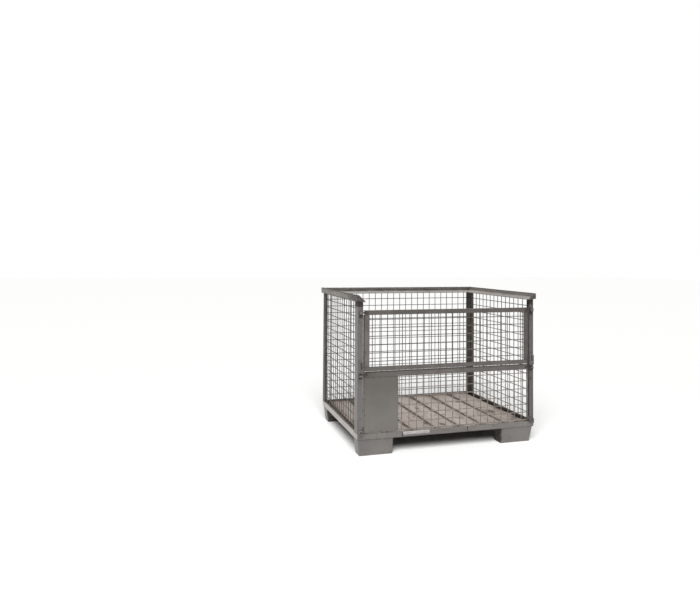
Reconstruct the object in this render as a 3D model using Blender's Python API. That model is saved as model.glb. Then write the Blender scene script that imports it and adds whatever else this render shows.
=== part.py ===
"""Steel mesh box pallet: welded frame, four feet, board floor and a front made of two flaps.

Metres, +Z up. The origin lies on the ground under the middle of the box, +X runs along
the long side and the front with the flaps faces -Y.
"""

import math

import bmesh
import bpy
from mathutils import Vector

# Overall size, over the stacking rim
LENGTH = 1.240
DEPTH = 0.835
HEIGHT = 0.970

# Gap between two pieces that touch or are welded together
SEAT = 0.0003

# Stacking rim: a fold with a lip outside, a wall inside round the feet of the next box,
# and a slope under that wall on which they stand
RIM_WALL = 0.004
RIM_OVERHANG = 0.012
RIM_LIP = 0.037
RIM_TOP = 0.013
RIM_WELL = 0.024
RIM_RUN = 0.043
RIM_FALL = 0.040
RIM_BEND = 0.005
RIM_END_WALL = 0.004

# Corner posts: rolled angles that stand on the base frame
POST_WALL = 0.004
POST_FACE = 0.032
POST_SIDE = 0.062
POST_ROOT = 0.004
POST_HEEL = 0.003

# Pressed feet
FOOT_HEIGHT = 0.100
FOOT_LENGTH = 0.230
FOOT_DEPTH = 0.088
FOOT_TAPER = 0.014
FOOT_WALL = 0.005
FOOT_CORNER = 0.012
FOOT_EDGE = 0.006
FOOT_EDGE_STEPS = 3
FOOT_SETBACK = 0.004
FOOT_CORNER_STEPS = 4

# Base frame of four mitred rails, and the bearers between them
RAIL_WALL = 0.004
RAIL_HEIGHT = 0.036
RAIL_DEPTH = 0.045
RAIL_HEEL = 0.003
RAIL_ROOT = 0.003
RAIL_TOE = 0.001
LEDGE_HEIGHT = 0.008
BEARER_WIDTH = 0.060
BEARER_WALL = 0.003
BEARER_SPACING = 0.260
SILL_LEFT = -0.320
SILL_RIGHT = 0.127
SILL_HEIGHT = 0.028
SILL_BULGE = 0.005

# Floor boards, laid from front to back
BOARD_THICKNESS = 0.024
BOARD_PITCH = 0.161
BOARD_GAP = 0.008
BOARD_CHAMFER = 0.0015
BOARD_FRONT_GAP = 0.002
BOARD_LEFT_GAP = 0.034
BOARD_RIGHT_GAP = 0.046

# Welded wire mats
MESH_PITCH = 0.050
WIRE_DIAMETER = 0.005
WIRE_SIDES = 8
WALL_MAT_EDGE = 0.010
WALL_MAT_TOP_GAP = 0.035
WALL_MAT_LAP = 0.006
FLAP_MAT_EDGE = 0.008
LOWER_MAT_EDGE = 0.006

# Flaps
FLAP_GAP = 0.008
FLAP_WALL = 0.003
FLAP_HEEL = 0.002
FLAP_ROOT = 0.002
FLAP_TOE = 0.001
FLAP_BAR_DEPTH = 0.020
PICK_GAP = 0.095
UPPER_BOTTOM = 0.510
UPPER_TOP_BAR = 0.027
UPPER_BOTTOM_BAR = 0.027
UPPER_STILE = 0.034
LOWER_TOP_GAP = 0.0065
LOWER_TOP_BAR = 0.0315
LOWER_BOTTOM_GAP = 0.0045
PLATE_WIDTH = 0.220
PLATE_THICKNESS = 0.002
PLATE_CORNER = 0.004
PLATE_INSET = 0.002
PLATE_TOP_GAP = 0.0015

# Pivots and latches of the flaps
PIN_RADIUS = 0.004
PIN_SIDES = 16
PIN_INBOARD = 0.005
LATCH_PIN_INBOARD = 0.023
UPPER_PIVOT_RISE = 0.017
LOWER_PIVOT_RISE = 0.0025
UPPER_LIFT = 0.035
LOWER_LIFT = 0.006
EAR_THICKNESS = 0.003
EAR_RADIUS = 0.0065
EAR_TAB_DEPTH = 0.0175
EAR_TAB_HEIGHT = 0.030
EAR_TO_GUIDE = 0.001
GUIDE_WALL = 0.003
GUIDE_SETBACK = 0.004
GUIDE_CORNER = 0.006
UPPER_GUIDE_PAD = 0.020
LOWER_GUIDE_PAD = 0.016
GUIDE_SLOT_WIDTH = 0.006
HOOK_INSET = 0.002
HOOK_TAIL = 0.054
LOWER_HOOK_TAIL = 0.036
HOOK_TAIL_DEPTH = 0.004
HOOK_TAIL_CORNER = 0.010
HOOK_LIP_ROUNDING = 0.4
UPPER_HOOK_LIP = 0.010
LOWER_HOOK_LIP = 0.0015

# Places that follow from the sizes above
RIM_DROP = RIM_FALL - RIM_WELL
POST_X = LENGTH / 2 - RIM_OVERHANG
POST_Y = DEPTH / 2 - RIM_OVERHANG
FLAP_HALF = POST_X - POST_FACE - FLAP_GAP
LEDGE_TOP = FOOT_HEIGHT + LEDGE_HEIGHT
MAT_THICKNESS = 2 * WIRE_DIAMETER + SEAT
SIDE_MAT_OUTER = POST_X - POST_WALL - SEAT
SIDE_MAT_INNER = SIDE_MAT_OUTER - MAT_THICKNESS
BACK_MAT_OUTER = POST_Y - POST_WALL - SEAT
BACK_MAT_INNER = BACK_MAT_OUTER - MAT_THICKNESS
RAIL_TOP = FOOT_HEIGHT + RAIL_HEIGHT
WALL_MAT_BOTTOM = RAIL_TOP - WALL_MAT_LAP
WALL_MAT_TOP = HEIGHT - WALL_MAT_TOP_GAP
UPPER_TOP = HEIGHT - PICK_GAP
LOWER_TOP = UPPER_BOTTOM - LOWER_TOP_GAP
LOWER_BOTTOM = RAIL_TOP + LOWER_BOTTOM_GAP
FLAP_MAT_FRONT = -POST_Y + FLAP_WALL + SEAT
PIVOT_Y = -POST_Y - SEAT - PIN_RADIUS
UPPER_PIVOT_Z = UPPER_BOTTOM + UPPER_PIVOT_RISE
LOWER_PIVOT_Z = LOWER_BOTTOM + LOWER_PIVOT_RISE
UPPER_LATCH_Z = UPPER_TOP - UPPER_TOP_BAR / 2
LOWER_LATCH_Z = LOWER_TOP - LOWER_TOP_BAR / 2
EAR_INNER = FLAP_HALF + SEAT
EAR_OUTER = EAR_INNER + EAR_THICKNESS
GUIDE_INNER = EAR_OUTER + EAR_TO_GUIDE
GUIDE_OUTER = POST_X - GUIDE_SETBACK
PIN_OUTER_END = GUIDE_OUTER - GUIDE_WALL - SEAT
POCKET_FRONT = PIVOT_Y - PIN_RADIUS - SEAT
GUIDE_FRONT = POCKET_FRONT - GUIDE_WALL

# Finishes: base colour, metallic and roughness
FINISHES = {
    "painted_steel": ((0.196, 0.189, 0.173, 1.0), 0.0, 0.45),
    "rim_steel": ((0.235, 0.227, 0.208, 1.0), 0.0, 0.42),
    "wire_steel": ((0.250, 0.246, 0.231, 1.0), 0.0, 0.48),
    "flap_steel": ((0.168, 0.150, 0.144, 1.0), 0.0, 0.46),
    "bare_steel": ((0.520, 0.520, 0.500, 1.0), 1.0, 0.34),
    "floor_board": ((0.376, 0.323, 0.270, 1.0), 0.0, 0.82),
}


def clear_scene():
    """Remove every object that the file opened with."""
    for thing in list(bpy.data.objects):
        bpy.data.objects.remove(thing, do_unlink=True)


def finish_material(name):
    """Return the Principled material of a finish, made on first use."""
    material = bpy.data.materials.get(name)
    if material is None:
        colour, metallic, roughness = FINISHES[name]
        material = bpy.data.materials.new(name)
        material.use_nodes = True
        shader = material.node_tree.nodes["Principled BSDF"]
        shader.inputs["Base Color"].default_value = colour
        shader.inputs["Metallic"].default_value = metallic
        shader.inputs["Roughness"].default_value = roughness
        material.diffuse_color = colour
    return material


def group_empty(name, place):
    """Add an empty that carries the pieces of one sub-assembly."""
    empty = bpy.data.objects.new(name, None)
    empty.location = place
    bpy.context.collection.objects.link(empty)
    return empty


def add_piece(name, bm, finish, parent, origin=None, smooth_angle=None):
    """Turn a closed bmesh into a named object whose origin is `origin` or its middle."""
    bmesh.ops.recalc_face_normals(bm, faces=bm.faces)
    mesh = bpy.data.meshes.new(name)
    bm.to_mesh(mesh)
    bm.free()
    if origin is None:
        corners = [vertex.co for vertex in mesh.vertices]
        low = Vector([min(co[axis] for co in corners) for axis in range(3)])
        high = Vector([max(co[axis] for co in corners) for axis in range(3)])
        origin = (low + high) / 2
    origin = Vector(origin)
    for vertex in mesh.vertices:
        vertex.co -= origin
    if smooth_angle is not None:
        mesh.shade_smooth()
        mesh.set_sharp_from_angle(angle=smooth_angle)
    mesh.materials.append(finish_material(finish))
    piece = bpy.data.objects.new(name, mesh)
    piece.parent = parent
    piece.location = origin - parent.location
    bpy.context.collection.objects.link(piece)
    return piece


def prism(ring, travel):
    """Carry a flat ring of points along one vector and close both ends."""
    bm = bmesh.new()
    travel = Vector(travel)
    near = [bm.verts.new(Vector(point)) for point in ring]
    far = [bm.verts.new(Vector(point) + travel) for point in ring]
    bm.faces.new(near)
    bm.faces.new(list(reversed(far)))
    for index in range(len(ring)):
        after = (index + 1) % len(ring)
        bm.faces.new((near[index], near[after], far[after], far[index]))
    return bm


def loft(rings):
    """Join rings of equal length into one closed skin, with a cap at each end."""
    bm = bmesh.new()
    rows = [[bm.verts.new(Vector(point)) for point in ring] for ring in rings]
    for low, high in zip(rows, rows[1:]):
        for index in range(len(low)):
            after = (index + 1) % len(low)
            bm.faces.new((low[index], low[after], high[after], high[index]))
    bm.faces.new(rows[0])
    bm.faces.new(rows[-1])
    return bm


def box(low, high):
    """Return a plain block between two corners."""
    ring = [
        (low[0], low[1], low[2]),
        (high[0], low[1], low[2]),
        (high[0], high[1], low[2]),
        (low[0], high[1], low[2]),
    ]
    return prism(ring, (0, 0, high[2] - low[2]))


def fillet(points, radii, steps=3):
    """Round the corners of a flat outline; a radius of 0 keeps the corner sharp."""
    outline = []
    for index, corner in enumerate(points):
        radius = radii[index]
        here = Vector(corner)
        if radius <= 0:
            outline.append(here)
            continue
        to_last = (Vector(points[index - 1]) - here).normalized()
        to_next = (Vector(points[(index + 1) % len(points)]) - here).normalized()
        half = math.acos(max(-1.0, min(1.0, to_last.dot(to_next)))) / 2
        centre = here + (to_last + to_next).normalized() * (radius / math.sin(half))
        start = here + to_last * (radius / math.tan(half)) - centre
        end = here + to_next * (radius / math.tan(half)) - centre
        sweep = start.angle(end)
        for step in range(steps + 1):
            share = step / steps
            turn = math.sin((1 - share) * sweep) * start + math.sin(share * sweep) * end
            outline.append(centre + turn / math.sin(sweep))
    return outline


def circle(radius, sides):
    """Return the points of a circle round (0, 0), with a flat at the lowest side."""
    turn = 2 * math.pi / sides
    return [
        Vector((radius * math.cos((k + 0.5) * turn), radius * math.sin((k + 0.5) * turn)))
        for k in range(sides)
    ]


def hull(points):
    """Return the convex outline round flat points, in counter-clockwise order."""
    ordered = sorted(points, key=lambda point: (point[0], point[1]))
    chains = []
    for run in (ordered, list(reversed(ordered))):
        chain = []
        for point in run:
            while len(chain) > 1 and turn_of(chain[-2], chain[-1], point) <= 0:
                chain.pop()
            chain.append(point)
        chains.append(chain[:-1])
    return chains[0] + chains[1]


def turn_of(first, second, third):
    """Return a positive value where three flat points turn to the left."""
    along = (second[0] - first[0]) * (third[1] - first[1])
    across = (second[1] - first[1]) * (third[0] - first[0])
    return along - across


def trim(bm, place, normal):
    """Cut off what lies on the side that the normal points to, and close the cut."""
    everything = bm.verts[:] + bm.edges[:] + bm.faces[:]
    result = bmesh.ops.bisect_plane(
        bm, geom=everything, plane_co=place, plane_no=normal, clear_outer=True
    )
    rim = [item for item in result["geom_cut"] if isinstance(item, bmesh.types.BMEdge)]
    bmesh.ops.edgenet_fill(bm, edges=rim)


def mitre(bm, corner, away):
    """Cut a bar at 45 degrees through a corner of the box, half a seat short of it.

    away gives, by its signs, the side of the diagonal that is cut off.
    """
    normal = Vector((away[0], away[1], 0)).normalized()
    trim(bm, Vector((corner[0], corner[1], 0)) - normal * SEAT / 2, normal)


def boolean(bm, tool, operation):
    """Cut or join two closed bmeshes with the exact solver; both are used up."""
    pair = []
    for part in (bm, tool):
        bmesh.ops.recalc_face_normals(part, faces=part.faces)
        mesh = bpy.data.meshes.new("work")
        part.to_mesh(mesh)
        part.free()
        thing = bpy.data.objects.new("work", mesh)
        bpy.context.collection.objects.link(thing)
        pair.append(thing)
    body, cutter = pair
    modifier = body.modifiers.new("shape", "BOOLEAN")
    modifier.operation = operation
    modifier.solver = "EXACT"
    modifier.object = cutter
    bpy.context.view_layer.update()
    graph = bpy.context.evaluated_depsgraph_get()
    result = bmesh.new()
    result.from_mesh(body.evaluated_get(graph).to_mesh())
    for thing in pair:
        mesh = thing.data
        bpy.data.objects.remove(thing)
        bpy.data.meshes.remove(mesh)
    return result


def cylinder_x(radius, sides, ends, place_y, place_z):
    """Return a round bar along X between two ends."""
    ring = [(ends[0], place_y + p.x, place_z + p.y) for p in circle(radius, sides)]
    return prism(ring, (ends[1] - ends[0], 0, 0))


def rim_slope():
    """Return the slope's length and the unit vector square to it, outwards and down."""
    length = math.hypot(RIM_RUN, RIM_DROP)
    return length, Vector((-RIM_DROP / length, -RIM_RUN / length))


def rim_corners():
    """Return the rim's outer and inner corners as (distance in from the lip, height)."""
    length, square = rim_slope()
    outer = [
        Vector((0, HEIGHT - RIM_LIP)),
        Vector((0, HEIGHT)),
        Vector((RIM_TOP, HEIGHT)),
        Vector((RIM_TOP, HEIGHT - RIM_WELL)),
        Vector((RIM_TOP + RIM_RUN, HEIGHT - RIM_FALL)),
    ]
    below_bend = RIM_WALL * (length - RIM_DROP) / RIM_RUN
    inner = [
        Vector((RIM_WALL, HEIGHT - RIM_LIP)),
        Vector((RIM_WALL, HEIGHT - RIM_WALL)),
        Vector((RIM_TOP - RIM_WALL, HEIGHT - RIM_WALL)),
        Vector((RIM_TOP - RIM_WALL, HEIGHT - RIM_WELL - below_bend)),
        outer[-1] + square * RIM_WALL,
    ]
    return outer, inner


def build_rim(parent):
    """Add the back and side rims, mitred at the back corners, and their end plates."""
    outer, inner = rim_corners()
    bends = (0, RIM_BEND, RIM_BEND)
    tight = RIM_BEND - RIM_WALL
    section = fillet(
        outer + list(reversed(inner)), bends + (tight, 0, 0, RIM_BEND, tight, tight, 0)
    )
    face = fillet(outer[:3] + [outer[-1], inner[-1], inner[0]], bends + (0, 0, 0))
    half_x = LENGTH / 2
    half_y = DEPTH / 2
    rounded = math.radians(35)
    back = prism([(-half_x, half_y - d, z) for d, z in section], (LENGTH, 0, 0))
    for side in (-1, 1):
        mitre(back, (side * half_x, half_y), (side, -1))
    add_piece("rim_back", back, "rim_steel", parent, smooth_angle=rounded)
    for side, word in ((-1, "left"), (1, "right")):
        front = -half_y + RIM_END_WALL + SEAT
        ring = [(side * (half_x - d), front, z) for d, z in section]
        arm = prism(ring, (0, half_y - front, 0))
        mitre(arm, (side * half_x, half_y), (-side, 1))
        add_piece("rim_" + word, arm, "rim_steel", parent, smooth_angle=rounded)
        ring = [(side * (half_x - d), -half_y, z) for d, z in face]
        plate = prism(ring, (0, RIM_END_WALL, 0))
        add_piece("rim_end_" + word, plate, "rim_steel", parent, smooth_angle=rounded)


def build_posts(parent):
    """Add the four corner angles, cut at the top to the underside of the rim."""
    _, square = rim_slope()
    outer, _ = rim_corners()
    under = outer[-1] + square * (RIM_WALL + SEAT)
    angle = [(0, 0), (POST_FACE, 0), (POST_FACE, POST_WALL), (POST_WALL, POST_WALL)]
    angle += [(POST_WALL, POST_SIDE), (0, POST_SIDE)]
    section = fillet(angle, (POST_HEEL, 0, 0, POST_ROOT, 0, 0))
    low = RAIL_TOP + SEAT
    top = HEIGHT - RIM_WALL - SEAT
    for side_y, depth_word in ((-1, "front"), (1, "back")):
        for side_x, word in ((-1, "left"), (1, "right")):
            ring = [(side_x * (POST_X - a), side_y * (POST_Y - b), low) for a, b in section]
            post = prism(ring, (0, 0, top - low))
            place = Vector((side_x * (LENGTH / 2 - under.x), 0, under.y))
            trim(post, place, Vector((side_x * square.x, 0, -square.y)))
            if side_y > 0:
                place = Vector((0, DEPTH / 2 - under.x, under.y))
                trim(post, place, Vector((0, square.x, -square.y)))
            name = "post_" + depth_word + "_" + word
            add_piece(name, post, "painted_steel", parent, smooth_angle=math.radians(35))


def foot_ring(side_x, side_y, shrink, inset, height):
    """Return a rounded rectangle: `shrink` draws in the outer sides, `inset` all four."""
    out_x = POST_X - FOOT_SETBACK - shrink - inset
    out_y = POST_Y - FOOT_SETBACK - shrink - inset
    in_x = POST_X - FOOT_SETBACK - FOOT_LENGTH + inset
    in_y = POST_Y - FOOT_SETBACK - FOOT_DEPTH + inset
    corners = [(in_x, in_y), (out_x, in_y), (out_x, out_y), (in_x, out_y)]
    radius = FOOT_CORNER - inset
    outline = fillet(corners, [radius] * 4, FOOT_CORNER_STEPS)
    return [(side_x * p.x, side_y * p.y, height) for p in outline]


def build_feet(parent):
    """Add the four pressed feet: tapered cups, open at the top under the base frame."""
    top = FOOT_HEIGHT - SEAT
    for side_y, depth_word in ((-1, "front"), (1, "back")):
        for side_x, word in ((-1, "left"), (1, "right")):
            rings = []
            for step in range(FOOT_EDGE_STEPS + 1):
                turn = math.pi / 2 * step / FOOT_EDGE_STEPS
                height = FOOT_EDGE * (1 - math.cos(turn))
                inset = FOOT_EDGE * (1 - math.sin(turn))
                shrink = FOOT_TAPER * (1 - height / top)
                rings.append(foot_ring(side_x, side_y, shrink, inset, height))
            rings.append(foot_ring(side_x, side_y, 0, 0, top))
            rings.append(foot_ring(side_x, side_y, 0, FOOT_WALL, top))
            rings.append(foot_ring(side_x, side_y, FOOT_TAPER, FOOT_WALL, FOOT_WALL))
            name = "foot_" + depth_word + "_" + word
            add_piece(name, loft(rings), "painted_steel", parent, smooth_angle=math.radians(35))


def rail_section():
    """Return the rail's section: a web outside and a thick ledge that carries the boards."""
    corners = [
        (0, 0),
        (RAIL_DEPTH, 0),
        (RAIL_DEPTH, LEDGE_HEIGHT),
        (RAIL_WALL, LEDGE_HEIGHT),
        (RAIL_WALL, RAIL_HEIGHT),
        (0, RAIL_HEIGHT),
    ]
    return fillet(corners, (RAIL_HEEL, RAIL_TOE, RAIL_TOE, RAIL_ROOT, 0, 0))


def build_base(parent):
    """Add the four rails, mitred at the corners, the bearers and the bright sill strip."""
    section = rail_section()
    rounded = math.radians(35)
    for side, word in ((-1, "front"), (1, "back")):
        ring = [(-POST_X, side * (POST_Y - b), FOOT_HEIGHT + z) for b, z in section]
        rail = prism(ring, (2 * POST_X, 0, 0))
        for end in (-1, 1):
            mitre(rail, (end * POST_X, side * POST_Y), (end, -side))
        add_piece("rail_" + word, rail, "painted_steel", parent, smooth_angle=rounded)
    for side, word in ((-1, "left"), (1, "right")):
        ring = [(side * (POST_X - a), -POST_Y, FOOT_HEIGHT + z) for a, z in section]
        rail = prism(ring, (0, 2 * POST_Y, 0))
        for end in (-1, 1):
            mitre(rail, (side * POST_X, end * POST_Y), (-side, end))
        add_piece("rail_" + word, rail, "painted_steel", parent, smooth_angle=rounded)
    build_bearers(parent)
    build_sill(parent)


def build_bearers(parent):
    """Add the channels under the boards, butted to the side rails."""
    half = BEARER_WIDTH / 2
    wall = BEARER_WALL
    channel = [(-half, 0), (-half, LEDGE_HEIGHT), (half, LEDGE_HEIGHT), (half, 0)]
    channel += [(half - wall, 0), (half - wall, LEDGE_HEIGHT - wall)]
    channel += [(wall - half, LEDGE_HEIGHT - wall), (wall - half, 0)]
    end_x = POST_X - RAIL_DEPTH - SEAT
    for side_y, word in ((-1, "front"), (1, "back")):
        middle = side_y * BEARER_SPACING / 2
        ring = [(-end_x, middle + y, FOOT_HEIGHT + z) for y, z in channel]
        add_piece("bearer_" + word, prism(ring, (2 * end_x, 0, 0)), "painted_steel", parent)


def build_sill(parent):
    """Add the bright guard strip on the front rail, flat behind and round in front."""
    back = -POST_Y - SEAT
    steps = 8
    low = FOOT_HEIGHT + (RAIL_HEIGHT - SILL_HEIGHT) / 2
    arc = [math.pi * step / steps for step in range(steps + 1)]
    ring = [
        (SILL_LEFT, back - SILL_BULGE * math.sin(a), low + SILL_HEIGHT * (1 - math.cos(a)) / 2)
        for a in arc
    ]
    strip = prism(ring, (SILL_RIGHT - SILL_LEFT, 0, 0))
    add_piece("sill_strip", strip, "bare_steel", parent, smooth_angle=math.radians(40))


def build_floor(parent):
    """Add the floor boards, as many as fit between the gaps at the side rails."""
    start = -POST_X + RAIL_WALL + BOARD_LEFT_GAP
    width = POST_X - RAIL_WALL - BOARD_RIGHT_GAP - start
    count = max(1, round(width / BOARD_PITCH))
    pitch = width / count
    front = -POST_Y + RAIL_WALL + BOARD_FRONT_GAP
    back = BACK_MAT_INNER - SEAT
    low = LEDGE_TOP + SEAT
    high = low + BOARD_THICKNESS
    for index in range(count):
        left = start + index * pitch + (BOARD_GAP / 2 if index else 0)
        right = start + (index + 1) * pitch - (BOARD_GAP / 2 if index < count - 1 else 0)
        ring = [
            (left, front, low),
            (right, front, low),
            (right, front, high - BOARD_CHAMFER),
            (right - BOARD_CHAMFER, front, high),
            (left + BOARD_CHAMFER, front, high),
            (left, front, high - BOARD_CHAMFER),
        ]
        board = prism(ring, (0, back - front, 0))
        add_piece("floor_board_%d" % (index + 1), board, "floor_board", parent)


def wire_places(low, high):
    """Return evenly spaced wire lines between two edges, at about the mesh pitch."""
    count = max(2, round((high - low) / MESH_PITCH))
    return [low + (high - low) * k / count for k in range(1, count)]


def wire_mat(low, high, edge, to_world):
    """Return a welded mat as one body: an edge frame with two layers of wires let into it.

    low and high are the corners in the mat's own plane, and to_world turns a point in
    that plane and a depth from the outer face into a place.
    """
    frame = bmesh.new()
    rows = []
    for inset, depth in ((0, 0), (edge, 0), (edge, MAT_THICKNESS), (0, MAT_THICKNESS)):
        corners = [
            (low[0] + inset, low[1] + inset),
            (high[0] - inset, low[1] + inset),
            (high[0] - inset, high[1] - inset),
            (low[0] + inset, high[1] - inset),
        ]
        rows.append([frame.verts.new(to_world(u, v, depth)) for u, v in corners])
    for near, far in zip(rows, rows[1:] + rows[:1]):
        for index in range(4):
            after = (index + 1) % 4
            frame.faces.new((near[index], near[after], far[after], far[index]))
    wires = bmesh.new()
    radius = WIRE_DIAMETER / 2 / math.cos(math.pi / WIRE_SIDES)
    section = circle(radius, WIRE_SIDES)
    bite = edge / 2
    outer_layer = WIRE_DIAMETER / 2
    inner_layer = MAT_THICKNESS - WIRE_DIAMETER / 2
    for place in wire_places(low[0], high[0]):
        ends = [
            [to_world(place + p.y, end, outer_layer + p.x) for p in section]
            for end in (low[1] + bite, high[1] - bite)
        ]
        add_tube(wires, ends)
    for place in wire_places(low[1], high[1]):
        ends = [
            [to_world(end, place + p.y, inner_layer + p.x) for p in section]
            for end in (low[0] + bite, high[0] - bite)
        ]
        add_tube(wires, ends)
    return boolean(frame, wires, "UNION")


def add_tube(bm, ends):
    """Add a closed straight tube between two rings of points."""
    near = [bm.verts.new(point) for point in ends[0]]
    far = [bm.verts.new(point) for point in ends[1]]
    bm.faces.new(near)
    bm.faces.new(list(reversed(far)))
    for index in range(len(near)):
        after = (index + 1) % len(near)
        bm.faces.new((near[index], near[after], far[after], far[index]))


def build_wall_mats(parent):
    """Add the mats of the back and the two ends, inside the posts."""
    back = wire_mat(
        (POST_ROOT - SIDE_MAT_OUTER, WALL_MAT_BOTTOM),
        (SIDE_MAT_OUTER - POST_ROOT, WALL_MAT_TOP),
        WALL_MAT_EDGE,
        lambda u, v, depth: Vector((u, BACK_MAT_OUTER - depth, v)),
    )
    add_piece("mesh_back", back, "wire_steel", parent, smooth_angle=math.radians(65))
    for side, word in ((-1, "left"), (1, "right")):
        mat = wire_mat(
            (POST_ROOT - BACK_MAT_OUTER, WALL_MAT_BOTTOM),
            (BACK_MAT_INNER - SEAT, WALL_MAT_TOP),
            WALL_MAT_EDGE,
            lambda u, v, depth, side=side: Vector((side * (SIDE_MAT_OUTER - depth), u, v)),
        )
        add_piece("mesh_" + word, mat, "wire_steel", parent, smooth_angle=math.radians(65))


def guide(side, pivot_z, lift, pad):
    """Return a guide on a front post: a pocket open to the flap in which the pivot pin rides.

    The pin rests on the pocket's floor and its lid stops the lift. A slot in the front
    wall shows the pin.
    """
    floor = pivot_z - PIN_RADIUS - SEAT
    lid = pivot_z + lift + PIN_RADIUS + SEAT
    low = floor - pad
    high = lid + GUIDE_WALL
    corners = [(GUIDE_INNER, low), (GUIDE_OUTER, low), (GUIDE_OUTER, high), (GUIDE_INNER, high)]
    outline = fillet(corners, [GUIDE_CORNER] * 4)
    back = -POST_Y - SEAT
    ring = [(side * p.x, back, p.y) for p in outline]
    block = prism(ring, (0, GUIDE_FRONT - back, 0))
    reach = GUIDE_WALL
    inner = side * (GUIDE_INNER - reach)
    outer = side * (GUIDE_OUTER - GUIDE_WALL)
    pocket_low = (min(inner, outer), POCKET_FRONT, floor)
    pocket_high = (max(inner, outer), back + reach, lid)
    block = boolean(block, box(pocket_low, pocket_high), "DIFFERENCE")
    half = GUIDE_SLOT_WIDTH / 2
    middle = side * (GUIDE_INNER + GUIDE_OUTER) / 2
    slot_corners = [(-half, pivot_z - half), (half, pivot_z - half)]
    slot_corners += [(half, pivot_z + lift + half), (-half, pivot_z + lift + half)]
    slot = fillet(slot_corners, [half * 0.98] * 4)
    ring = [(middle + p.x, POCKET_FRONT + reach / 2, p.y) for p in slot]
    return boolean(block, prism(ring, (0, -GUIDE_WALL - reach, 0)), "DIFFERENCE")


def hook(side, latch_z, tail, lip):
    """Return a latch hook on a front post: a shelf and a lip over a round-cornered tail."""
    back = -POST_Y - SEAT
    shelf = latch_z - PIN_RADIUS - SEAT
    crook = shelf - GUIDE_WALL
    heel = crook - (back - HOOK_TAIL_DEPTH - GUIDE_FRONT)
    section = [
        (back, shelf - tail),
        (back, shelf),
        (POCKET_FRONT, shelf),
        (POCKET_FRONT, latch_z + lip),
        (GUIDE_FRONT, latch_z + lip),
        (GUIDE_FRONT, crook),
        (back - HOOK_TAIL_DEPTH, heel),
        (back - HOOK_TAIL_DEPTH, shelf - tail),
    ]
    lip_edge = GUIDE_WALL * HOOK_LIP_ROUNDING
    cradle = PIN_RADIUS + SEAT
    section = fillet(section, (0, 0, cradle, lip_edge, lip_edge, GUIDE_WALL, 0, 0))
    near = POST_X - POST_FACE + HOOK_INSET
    far = GUIDE_OUTER - HOOK_INSET
    low = shelf - tail
    high = latch_z + lip + GUIDE_WALL
    face = [(near, low), (far, low), (far, high), (near, high)]
    face = fillet(face, (HOOK_TAIL_CORNER, HOOK_TAIL_CORNER, 0, 0))
    ring = [(side * near, y, z) for y, z in section]
    bent = prism(ring, (side * (far - near), 0, 0))
    ring = [(side * p.x, back + GUIDE_WALL, p.y) for p in face]
    shape = prism(ring, (0, GUIDE_FRONT - back - 2 * GUIDE_WALL, 0))
    return boolean(bent, shape, "INTERSECT")


def ear(side, pivot_z, tab_low):
    """Return an ear on a flap's edge: an eye round the pivot pin and a tab to the flap."""
    tab_front = -POST_Y + FLAP_WALL
    tab_back = -POST_Y + EAR_TAB_DEPTH
    tab_high = tab_low + EAR_TAB_HEIGHT
    points = [(tab_front, tab_low), (tab_back, tab_low), (tab_back, tab_high), (tab_front, tab_high)]
    eye = [(PIVOT_Y + p.x, pivot_z + p.y) for p in circle(EAR_RADIUS, 2 * PIN_SIDES)]
    ring = [(side * EAR_INNER, y, z) for y, z in hull(points + eye)]
    plate = prism(ring, (side * EAR_THICKNESS, 0, 0))
    ends = (side * (EAR_INNER - EAR_THICKNESS), side * (EAR_OUTER + EAR_THICKNESS))
    bore = cylinder_x(PIN_RADIUS + SEAT, 2 * PIN_SIDES, ends, PIVOT_Y, pivot_z)
    return boolean(plate, bore, "DIFFERENCE")


def build_post_fittings(parent):
    """Add the guides and latch hooks of both flaps to the front posts."""
    for side, word in ((-1, "left"), (1, "right")):
        upper = guide(side, UPPER_PIVOT_Z, UPPER_LIFT, UPPER_GUIDE_PAD)
        lower = guide(side, LOWER_PIVOT_Z, LOWER_LIFT, LOWER_GUIDE_PAD)
        add_piece("upper_guide_" + word, upper, "painted_steel", parent)
        add_piece("lower_guide_" + word, lower, "painted_steel", parent)
        upper = hook(side, UPPER_LATCH_Z, HOOK_TAIL, UPPER_HOOK_LIP)
        lower = hook(side, LOWER_LATCH_Z, LOWER_HOOK_TAIL, LOWER_HOOK_LIP)
        add_piece("upper_hook_" + word, upper, "painted_steel", parent)
        add_piece("lower_hook_" + word, lower, "painted_steel", parent)


def build_pivot_pins(parent, level, pivot_z):
    """Add the two pins that ride up and down in the guides and carry a flap."""
    for side, word in ((-1, "left"), (1, "right")):
        ends = (side * (FLAP_HALF - PIN_INBOARD), side * PIN_OUTER_END)
        pin = cylinder_x(PIN_RADIUS, PIN_SIDES, ends, PIVOT_Y, pivot_z)
        origin = (side * FLAP_HALF, PIVOT_Y, pivot_z)
        name = level + "_pivot_pin_" + word
        add_piece(name, pin, "bare_steel", parent, origin, math.radians(40))


def flap_bar(top, height, leg_at_top):
    """Return a horizontal angle bar of a flap: face in front, leg inwards at one edge."""
    depth = FLAP_BAR_DEPTH
    wall = FLAP_WALL
    section = [(0, 0), (depth, 0), (depth, -wall), (wall, -wall), (wall, -height), (0, -height)]
    section = fillet(section, (FLAP_HEEL, 0, FLAP_TOE, FLAP_ROOT, FLAP_TOE, 0), 2)
    if not leg_at_top:
        section = [(y, -height - z) for y, z in section]
    ring = [(-FLAP_HALF, -POST_Y + y, top + z) for y, z in section]
    return prism(ring, (2 * FLAP_HALF, 0, 0))


def flap_mat(half_x, low, high, edge):
    """Return the wire mat of a flap, behind the faces of its bars."""
    return wire_mat(
        (-half_x, low),
        (half_x, high),
        edge,
        lambda u, v, depth: Vector((u, FLAP_MAT_FRONT + depth, v)),
    )


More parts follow.
